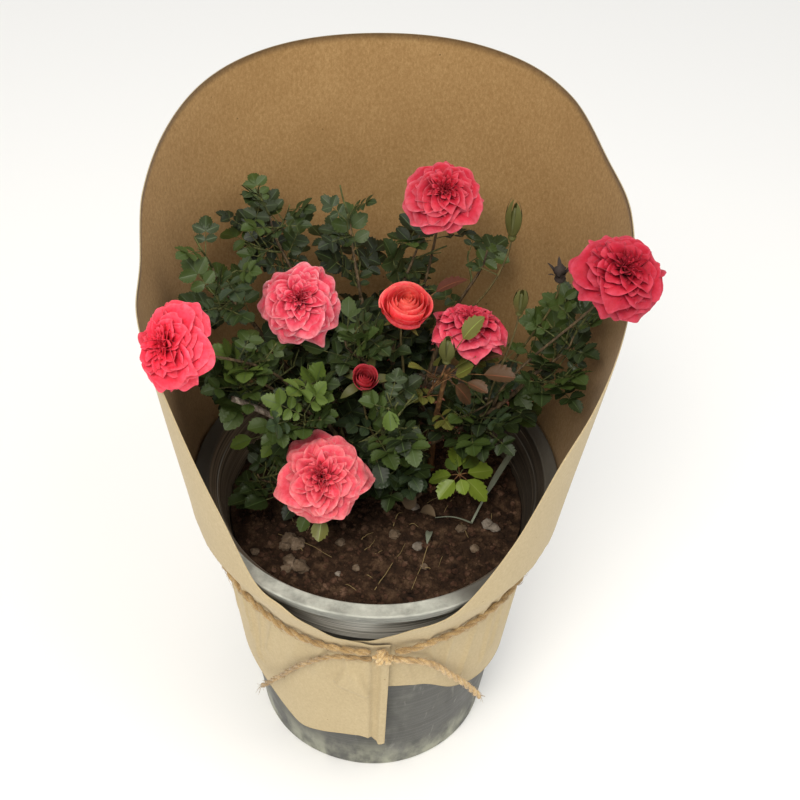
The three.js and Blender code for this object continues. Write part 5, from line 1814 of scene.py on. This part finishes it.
def icosphere(level):
    """A sphere of triangles, of radius one. Each level above the first splits every triangle in four."""
    points, faces = icosahedron()
    for _ in range(level - 1):
        halves = {}
        split = []

        def middle(a, b):
            key = (min(a, b), max(a, b))
            if key not in halves:
                points.append(unit(points[a] + points[b]))
                halves[key] = len(points) - 1
            return halves[key]

        for a, b, c in faces:
            ab, bc, ca = middle(a, b), middle(b, c), middle(c, a)
            split += [(a, ab, ca), (b, bc, ab), (c, ca, bc), (ab, bc, ca)]
        faces = split
    return np.array(points), faces


# Crumbs: how many, how far from the axis they lie, how far they keep off the foot, and the pale share.
CRUMBS = {"count": 4600, "reach": 86, "bare": 12, "pale": 0.45}
# Clods and stones that lie on the soil: at x and y, with their size.
CLODS = [
    (-51, -37.5, 4.8), (-46, -40, 4.6), (-52, -43, 3.4), (-48.5, -54.5, 4.2), (-43, -57, 5.0),
    (-50, -60, 3.0), (-70, -46, 2.6), (12, -29, 3.2), (-20, -38, 2.6), (52, -24, 3.0), (30, -52, 2.2),
    (-10, -55, 2.4), (60, -38, 2.6),
]
PEBBLES = [
    (68, -18, 3.8), (72.5, -20.5, 3.2), (26.1, -39.1, 2.8), (23.5, -6, 2.8), (-20, -60, 1.6), (21, -2, 2.2),
]
STRAWS = {"count": 54, "reach": 74, "edge": 84, "joints": 7, "long_one_in": 6, "long": 26}


def crumb_shapes():
    """The crumbs strewn over the soil, the pale and the dark ones apart."""
    draw = stream(SEEDS["crumbs"])
    light, dark = Shape(), Shape()
    for _ in range(CRUMBS["count"]):
        radius = 0.4 + 2.0 * draw() ** 5
        turn = any_turn(draw)
        away = CRUMBS["reach"] * math.sqrt(draw())
        x, y = away * math.cos(turn), away * math.sin(turn)
        if math.hypot(x - FOOT["x"], y - FOOT["y"]) < CRUMBS["bare"]:
            continue
        points, faces = lump(radius, draw)
        shape = light if draw() < CRUMBS["pale"] else dark
        shape.add(points + on_soil(x, y, 0.25 * radius), faces)
    return light, dark


def stones(places, level, seed):
    """Lumps with rough faces, set into the soil at the given places."""
    draw = stream(seed)
    shape = Shape()
    for x, y, radius in places:
        points, faces = icosphere(level)
        bumps = 1 + 0.34 * rough(points + radius * 7, 1.5, 3) + 0.12 * rough(points * 3 + radius, 1.8, 2)
        squash = point(1.1, 0.85 + 0.2 * draw(), 0.66)
        scaled = turn_about_axis(points * bumps[:, None] * squash, any_turn(draw)) * radius
        shape.add(scaled + on_soil(x, y, 0.3 * radius), faces)
    return shape


def straw_shape():
    """Dry stalks and fine roots that lie on the soil."""
    draw = stream(SEEDS["straws"])
    shape = Shape()
    joints = STRAWS["joints"]
    for number in range(STRAWS["count"]):
        turn, bend = any_turn(draw), 1.6 * (draw() - 0.5)
        away = STRAWS["reach"] * math.sqrt(0.1 + 0.9 * draw())
        place = any_turn(draw)
        x, y = away * math.cos(place), away * math.sin(place)
        length = 5 + 16 * draw() ** 2 + (STRAWS["long"] if number % STRAWS["long_one_in"] == 0 else 0)
        path = []
        for k in range(joints):
            part = k / (joints - 1)
            path.append(on_soil(x, y, 0.7 + 0.9 * math.sin(math.pi * part)))
            x += length / (joints - 1) * math.cos(turn + bend * part)
            y += length / (joints - 1) * math.sin(turn + bend * part)
        if max(math.hypot(p[0], p[1]) for p in path) < STRAWS["edge"]:
            radius = 0.14 + 0.22 * draw()
            shape.add(*tube(np.array(path), np.linspace(radius, 0.6 * radius, joints), 5))
    return shape


# The long dry blade: its foot, the wall that it leans on and the end of its bent stalk.
STRAP = {"foot": (58, -20, 184), "top": (84, 23, 206), "bent": (36, -18, 185), "rows": 16}
# Dry leaves on the soil: x and y, length, half width against that, turn and look.
DRY_LEAVES = [
    (17, 1, 15, 0.34, 0.4, 1), (24, 6, 13, 0.34, -2.0, 1), (26, 0, 10, 0.34, 2.2, 1),
    (19, 7, 11, 0.34, -0.9, 1), (21, -9, 14, 0.34, 1.9, 1), (27, -12, 12, 0.34, -0.6, 1),
    (33, -27, 14, 0.14, -1.7, 0),
]


def strap_shape():
    """The long dry blade that leans from the soil over to the wall, and the curled dry leaves."""
    shape = Shape()
    count = STRAP["rows"]
    foot, top, low = [point(*STRAP[key]) for key in ("foot", "top", "bent")]
    t = np.linspace(0, 1, count)[:, None]
    path = foot * (1 - t) + top * t + UP * (4 * np.sin(math.pi * t))
    across = unit(point(-0.78, 0.6, 0.25))
    width = 0.7 + 1.1 * smooth(t, 0.3, 0.5)
    rows = np.stack([path - across * width, path - UP * 0.5 * width, path + across * width], axis=1)
    shape.add(rows.reshape(-1, 3), grid_faces(count, 3), 0)
    bent = foot * (1 - t) + low * t + UP * (3 * np.sin(math.pi * t))
    shape.add(*tube(bent, np.linspace(0.6, 0.25, count), 5), 0)
    for x, y, size, slim, turn, look in DRY_LEAVES:
        points, faces = blade(size, slim * size, -1.0, 0.7, rows=9, fold=0.7)
        shape.add(turn_about_axis(points, turn) + on_soil(x, y, 0.8), faces, look)
    return shape


def make_soil():
    make_piece("soil_bed", soil_shape(), [LOOK["soil"]], ["soil"])
    light, dark = crumb_shapes()
    make_piece("soil_crumbs_light", light, [LOOK["crumb"]], flat=True)
    make_piece("soil_crumbs_dark", dark, [LOOK["soil"]], flat=True)
    make_piece("clods", stones(CLODS, 4, SEEDS["clods"]), [LOOK["clod"]])
    make_piece("pebbles", stones(PEBBLES, 3, SEEDS["pebbles"]), [LOOK["pebble"]])
    make_piece("straws", straw_shape(), [LOOK["straw"]])
    make_piece("dry_leaves", strap_shape(), [LOOK["strap"], LOOK["dead_leaf"]])


# The paper wrap.
SHEET = {"columns": 560, "rows": 76, "thickness": 0.55}
# Pulled folds: the bearing at the waist, how it drifts downwards in degrees a millimetre, the fold's half
# width in degrees, its depth in millimetres, and the heights between which it runs.
FOLDS = [
    (-174, 0.09, 1.2, 1.4, 125, 165), (-171.5, -0.1, 1.1, 1.6, 125, 166), (-166, 0.16, 1.4, 1.7, 118, 168),
    (-158, 0.2, 1.4, 1.4, 120, 168), (-146, 0.16, 1.2, 1.5, 105, 172), (-139, 0.08, 0.9, 1.7, 95, 174),
    (-132.5, 0.02, 1.0, 2.9, 84, 178), (-127, -0.04, 0.8, 2.2, 95, 176), (-118, 0.02, 0.9, 1.3, 110, 174),
    (180.5, -0.06, 1.0, 1.9, 105, 165), (171, -0.16, 1.2, 1.6, 110, 168), (160, -0.12, 1.3, 1.5, 110, 170),
    (150, 0.05, 1.0, 1.4, 112, 172), (140, 0.05, 0.9, 2.4, 92, 178), (133, -0.03, 0.9, 2.4, 92, 178),
    (126, 0.0, 0.8, 1.8, 100, 176), (116, 0.02, 0.9, 1.2, 110, 176),
]


def paper_levels(bearing, count):
    """Heights of the sheet's rows at each bearing, evenly from the hem to the top edge."""
    return lerp(through(PAPER_HEM, bearing), through(PAPER_TOP, bearing), np.linspace(0, 1, count)[:, None])


def rounded_radius(bearing, z):
    """The sheet's radius with its bends at the waist and the rim rounded off outwards."""
    samples = [paper_radius(bearing, z + shift) for shift in (-4, -2, 0, 2, 4)]
    return np.maximum(np.mean(samples, axis=0), paper_radius(bearing, z) - 0.25)


# The pleat at the left sheet's free end, as bearing and how far it stands off, and the facet under the knot,
# as the bearing and height of its corners.
PLEAT = [(-187.5, 1.4), (-186, 2.3), (-184.3, 2.4), (-183.7, 0.2), (-181.3, 0.0), (-180.5, 2.8), (-177, 1.5),
         (-171, 0.3), (-167, 0)]
FACET = {"corners": [(-168, 121), (-180.5, 113), (-175, 158)], "height": 3.4, "edge": 0.8}


def facet(bearing, z):
    """How far the paper stands off in the facet: one inside its corners, none outside."""
    share = np.ones_like(z)
    corners = FACET["corners"]
    middle = np.mean(corners, axis=0)
    for k, start in enumerate(corners):
        end = corners[(k + 1) % len(corners)]
        way = unit(point(end[0] - start[0], end[1] - start[1]))
        off = (bearing - start[0]) * way[1] - (z - start[1]) * way[0]
        side = math.copysign(1, (middle[0] - start[0]) * way[1] - (middle[1] - start[1]) * way[0])
        share = share * smooth(off * side, -FACET["edge"], FACET["edge"])
    return share


def creases(bearing, z):
    """Soft waves and pulled folds of the paper, in millimetres outwards."""
    turn = np.radians(bearing)
    waist = waist_z(bearing)
    pulled = np.exp(-((z - waist) / 26) ** 2)
    folds = 0.35 * np.sin(23 * turn + 0.07 * z) + 0.25 * np.sin(37 * turn - 0.05 * z + 1)
    waves = 0.9 * np.sin(3 * turn + 0.012 * z) + 0.5 * np.sin(7 * turn - 0.02 * z + 2)
    high = smooth(z, 215, 330)
    pleats = np.zeros_like(z)
    for at, drift, half, depth, low, top in FOLDS:
        line = at + drift * (waist - z)
        ridge = np.exp(-np.abs((bearing - line) / half) ** 1.5)
        pleats = pleats + depth * ridge * smooth(z, low, low + 14) * (1 - smooth(z, top - 8, top + 6))
    at, lifts = zip(*PLEAT)
    pleats = pleats + np.interp(bearing, at, lifts, right=0) * (1 - smooth(z, 148, 163))
    pleats = pleats + FACET["height"] * facet(bearing, z) * (1 - smooth(z, 125, 158))
    return np.maximum(pulled * folds + pleats, -0.2) + high * (waves + 0.8)


def paper_shape():
    """The sheet as two skins, inside and outside, with a rim that joins them all round."""
    columns, rows = SHEET["columns"], SHEET["rows"]
    bearing = np.linspace(PAPER["right_end"], PAPER["left_end"], columns)[None, :]
    z = paper_levels(bearing, rows)
    bearings = np.broadcast_to(bearing, z.shape)
    inner = rounded_radius(bearings, z) + creases(bearings, z)
    turn = np.radians(bearings)
    skins = []
    for radius in (inner, inner + SHEET["thickness"]):
        skins.append(np.stack([radius * np.sin(turn), radius * np.cos(turn), z], axis=-1).reshape(-1, 3))
    count = rows * columns
    inside = [face[::-1] for face in grid_faces(rows, columns)]
    outside = [face[::-1] for face in grid_faces(rows, columns, start=count)]
    hem, top = range(columns), range(count - columns, count)
    left, right = range(0, count, columns), range(columns - 1, count, columns)
    rim = [(a, b, b + count, a + count) for edge in (hem, top, left, right) for a, b in zip(edge, edge[1:])]
    shape = Shape()
    # The inside skin takes the darker kraft as painted shade, the outside and the rim the paler kraft as
    # painted light.
    looks = [0] * len(inside) + [1] * (len(outside) + len(rim))
    shape.add(np.concatenate(skins), inside + outside + rim, looks)
    return shape


# The twine: two strands laid round each other, with loose fibres.
def twine_surface(bearing):
    """Where the middle of the twine runs round the wrap, outside the lap where there is one."""
    front = PAPER["lap"] * smooth(bearing, *PAPER["twine_climbs"]) if bearing > 0 else 0
    z = float(waist_z(bearing))
    slope = (PAPER["rim"] - PAPER["waist"]) / (PAPER["rim_z"] - z)
    off = (TWINE["radius"] + CLEAR) * math.hypot(1, slope) + 0.1
    return on_bearing(bearing, float(paper_radius(bearing, z)) + PAPER["thickness"] + front + off, z)


def smooth_path(points, count):
    """A smooth curve through the points, evenly sampled."""
    points = np.asarray(points, float)
    keys = np.linspace(0, 1, len(points))
    t = np.linspace(0, 1, count)
    return np.stack([through(list(zip(keys, points[:, k])), t) for k in range(3)], axis=-1)


FIBRES = {"a_millimetre": 2.2, "lowest": 60}


def fibre(start, half_way, end, radii):
    return tube(np.array([start, half_way, end]), point(*radii), 3)


def strands(shape, path, radius, pitch=17.0, seed=0, fray=0):
    """Two strands twisted round a path, with fibres that stand off them and a frayed end."""
    _, side, other = frames_along(path)
    run = np.concatenate([[0], np.cumsum(np.linalg.norm(np.diff(path, axis=0), axis=1))])
    draw = stream(seed)
    for phase in (0, math.pi):
        turn = 2 * math.pi * run / pitch + phase
        off = (side * np.cos(turn)[:, None] + other * np.sin(turn)[:, None]) * (0.42 * radius)
        thick = radius * 0.62 * (1 + 0.08 * np.sin(run * 1.3 + phase) + 0.06 * np.sin(run * 3.1))
        shape.add(*tube(path + off, thick, 8))
    for _ in range(int(run[-1] * FIBRES["a_millimetre"])):
        i = int(draw() * (len(path) - 3))
        along = unit(path[i + 2] - path[i])
        turn = any_turn(draw)
        out = side[i] * math.cos(turn) + other[i] * math.sin(turn)
        length = 1.3 + 3.6 * draw() ** 2
        start = path[i] + out * radius * 0.8
        half_way = start + (along * 0.7 + out * 0.5) * length * 0.5
        end = start + (along * (0.5 + draw()) + out * 0.3 + side[i] * (draw() - 0.5)) * length
        if min(start[2], half_way[2], end[2]) > FIBRES["lowest"]:
            shape.add(*fibre(start, half_way, end, (0.11, 0.09, 0.04)))
    end_way = unit(path[-1] - path[-4])
    for _ in range(fray):
        out = side[-1] * (draw() - 0.5) + other[-1] * (draw() - 0.5)
        length = 3 + 5 * draw()
        start = path[-1] + out * radius
        half_way = start + (end_way + out * 0.4) * length * 0.5
        end = start + (end_way * 0.8 + out - UP * 0.25) * length
        shape.add(*fibre(start - end_way, half_way, end, (0.16, 0.13, 0.05)))


# The loop leaves this many degrees free on each side of the knot.
KNOT_GAP = 3.9
# The points along each part of the twine, and the frayed fibres at a tail's end.
TWINE_POINTS = {"loop": 520, "tail": 110, "knot": 90}
FRAYED = 20
# The looks of the tails and how thick they are against the loop.
TAIL_LOOKS = {"left": ("darker_twine", 0.74), "right": ("twine", 1.0)}


def tail_path(tail):
    """The middle of a tail, on the paper and over its lap where there is one."""
    path = []
    for bearing, z, off in tail:
        unrolled = bearing - 360 if bearing > 180 else bearing
        lapped = PAPER["lap"] if unrolled > 0 else 0
        surface = float(paper_radius(unrolled, z)) + PAPER["thickness"] + lapped
        path.append(on_bearing(bearing, surface + TWINE["radius"] + off, z))
    return smooth_path(path, TWINE_POINTS["tail"])


def make_twine():
    first = KNOT["bearing"] - KNOT_GAP
    last = KNOT["bearing"] + KNOT_GAP - 360
    loop = Shape()
    bearings = np.linspace(first, last, TWINE_POINTS["loop"])
    ring = np.array([twine_surface(bearing) for bearing in bearings])
    strands(loop, ring, TWINE["radius"], seed=SEEDS["loop"])
    # The loop takes the darker twine as painted shade where it lies against the paper.
    make_piece("twine_round", loop, [LOOK["darker_twine"]], ["twine_loop"])
    for side, (look, thick) in TAIL_LOOKS.items():
        shape = Shape()
        radius = TWINE["radius"] * thick
        strands(shape, tail_path(TAILS[side]), radius, seed=SEEDS["tail"], fray=FRAYED)
        make_piece("twine_end_" + side, shape, [LOOK[look]], ["twine_tail_" + side])
    make_piece("twine_bow_knot", knot_shape(), [LOOK["twine"]], ["twine_knot"])


def knot_middle():
    surface = float(paper_radius(-180, KNOT["z"])) + PAPER["thickness"]
    return on_bearing(KNOT["bearing"], surface + 2 * CLEAR + KNOT["depth"] / 2, KNOT["z"])


# The knot's two turns: how they lean, how far aside they lie, and the radius and twist of their twine.
KNOT_TURNS = [(0.35, -2.2), (-0.45, 1.6)]
KNOT_TWINE = {"radius": 1.75, "across": 1.8, "pitch": 8}


def knot_shape():
    """The knot: the tails' two turns round the crossing ends."""
    middle = knot_middle()
    right = on_bearing(KNOT["bearing"] - 90, 1, 0)
    out = on_bearing(KNOT["bearing"], 1, 0)
    shape = Shape()
    t = np.linspace(0, 1, TWINE_POINTS["knot"])
    half_w, half_h, half_d = KNOT["width"] / 2, KNOT["height"] / 2, KNOT["depth"] / 2
    for k, (lean, shift) in enumerate(KNOT_TURNS):
        turn = 2 * math.pi * (t * 1.05) + 0.5 * k
        path = (middle + np.outer(np.sin(turn) * (half_h - 1.9), UP + lean * right)
                + np.outer(np.cos(turn) * (half_d - 1.7), out) + np.outer(shift + 1.4 * (t - 0.5), right))
        strands(shape, path, KNOT_TWINE["radius"], KNOT_TWINE["pitch"], seed=SEEDS["knot"] + k)
    across = middle + np.outer((t - 0.5) * 2 * (half_w - 1.2), right) + np.outer(1.2 * np.sin(5 * t), UP)
    strands(shape, across, KNOT_TWINE["across"], KNOT_TWINE["pitch"], seed=SEEDS["knot_across"])
    return shape


# The floor, the light and the camera.
# The camera: its place in metres, how far it looks down and leans in degrees, and its lens in millimetres.
CAMERA = {
    "place": (0.0119, -0.503, 0.730), "pitch": 42.8, "roll": 2.35, "lens": 54, "sensor": 36, "near": 0.01,
}
# The lamps: place, what they shine at, size, watts and colour, in metres.
LIGHTS = {
    "key": ((-0.35, -1.0, 1.7), (0, 0, 0.2), 0.7, 20.5, "#fff8ee"),
    "fill": ((1.2, -0.6, 1.2), (0, 0, 0.2), 1.0, 1.8, "#fbfaff"),
    "bush": ((0.22, -0.16, 0.95), (-0.1, 0.03, 0.27), 0.3, 1.5, "#fffaf2"),
    "low": ((0.1, -1.1, 0.3), (0, -0.1, 0.17), 0.5, 1.2, "#fffaf2"),
}
FLOOR_HALF = 6
DAYLIGHT = 0.8


def make_camera():
    pitch, roll = math.radians(CAMERA["pitch"]), math.radians(CAMERA["roll"])
    ahead = point(0, math.cos(pitch), -math.sin(pitch))
    right = point(1, 0, 0)
    up = np.cross(right, ahead)
    x = right * math.cos(roll) + up * math.sin(roll)
    y = -right * math.sin(roll) + up * math.cos(roll)
    lens = bpy.data.cameras.new("camera")
    lens.lens = CAMERA["lens"]
    lens.sensor_width = CAMERA["sensor"]
    lens.clip_start = CAMERA["near"]
    camera = link_object("camera", lens)
    camera.matrix_world = Matrix([
        (x[0], y[0], -ahead[0], CAMERA["place"][0]), (x[1], y[1], -ahead[1], CAMERA["place"][1]),
        (x[2], y[2], -ahead[2], CAMERA["place"][2]), (0, 0, 0, 1),
    ])
    bpy.context.scene.camera = camera


def make_light(name, place, aim, size, watts, colour):
    lamp = bpy.data.lights.new(name, "AREA")
    lamp.shape = "SQUARE"
    lamp.size = size
    lamp.energy = watts
    lamp.color = rgb(colour)
    light = link_object(name, lamp)
    light.location = place
    light.rotation_mode = "QUATERNION"
    light.rotation_quaternion = Vector(point(*aim) - point(*place)).to_track_quat("-Z", "Y")


def make_stage():
    floor_mesh = bpy.data.meshes.new("floor")
    corners = [(x * FLOOR_HALF, y * FLOOR_HALF, 0) for x, y in ((-1, -1), (1, -1), (1, 1), (-1, 1))]
    floor_mesh.from_pydata(corners, [], [(0, 1, 2, 3)])
    floor_mesh.materials.append(plain("pale_floor", "#f2f2f0", 0.9))
    floor = link_object("floor", floor_mesh)
    world = bpy.data.worlds.new("soft_daylight")
    bpy.context.scene.world = world
    world.use_nodes = True
    back = world.node_tree.nodes["Background"]
    back.inputs["Color"].default_value = (1, 1, 1, 1)
    back.inputs["Strength"].default_value = DAYLIGHT
    for name, lamp in LIGHTS.items():
        make_light(name, *lamp)
    bpy.context.scene.view_settings.view_transform = "Standard"


# The radii of the stalks under open flowers, the half-open one and the buds.
STALK_RADII = {"flower": 0.95, "half_open": 0.9, "bud": 0.75}


def grow_everything():
    grow_canes()
    for item in FLOWERS:
        grow_stalk(item, STALK_RADII["flower"])
    grow_stalk(GOBLET, STALK_RADII["half_open"])
    for item in BUDS:
        grow_stalk(item, STALK_RADII["bud"])
    make_piece("foot_bark", foot_shape(), [LOOK["bark"]], ["stem_foot"])
    grow_bark()
    grow_blooms()
    grow_buds()
    foliage = Foliage()
    for mass in MASSES:
        grow_mass(foliage, mass)
    grow_lone_leaves(foliage)
    grow_spray(foliage)
    leaflet_pieces(foliage)
    twig_pieces(foliage)


make_camera()
make_stage()
make_piece("pot_shell", pot_shape(), [LOOK["pot"]], ["pot"])
make_soil()
make_piece("paper_sheet", paper_shape(), [LOOK["paper_in"], LOOK["paper_out"]], ["paper_wrap"])
make_twine()
grow_everything()
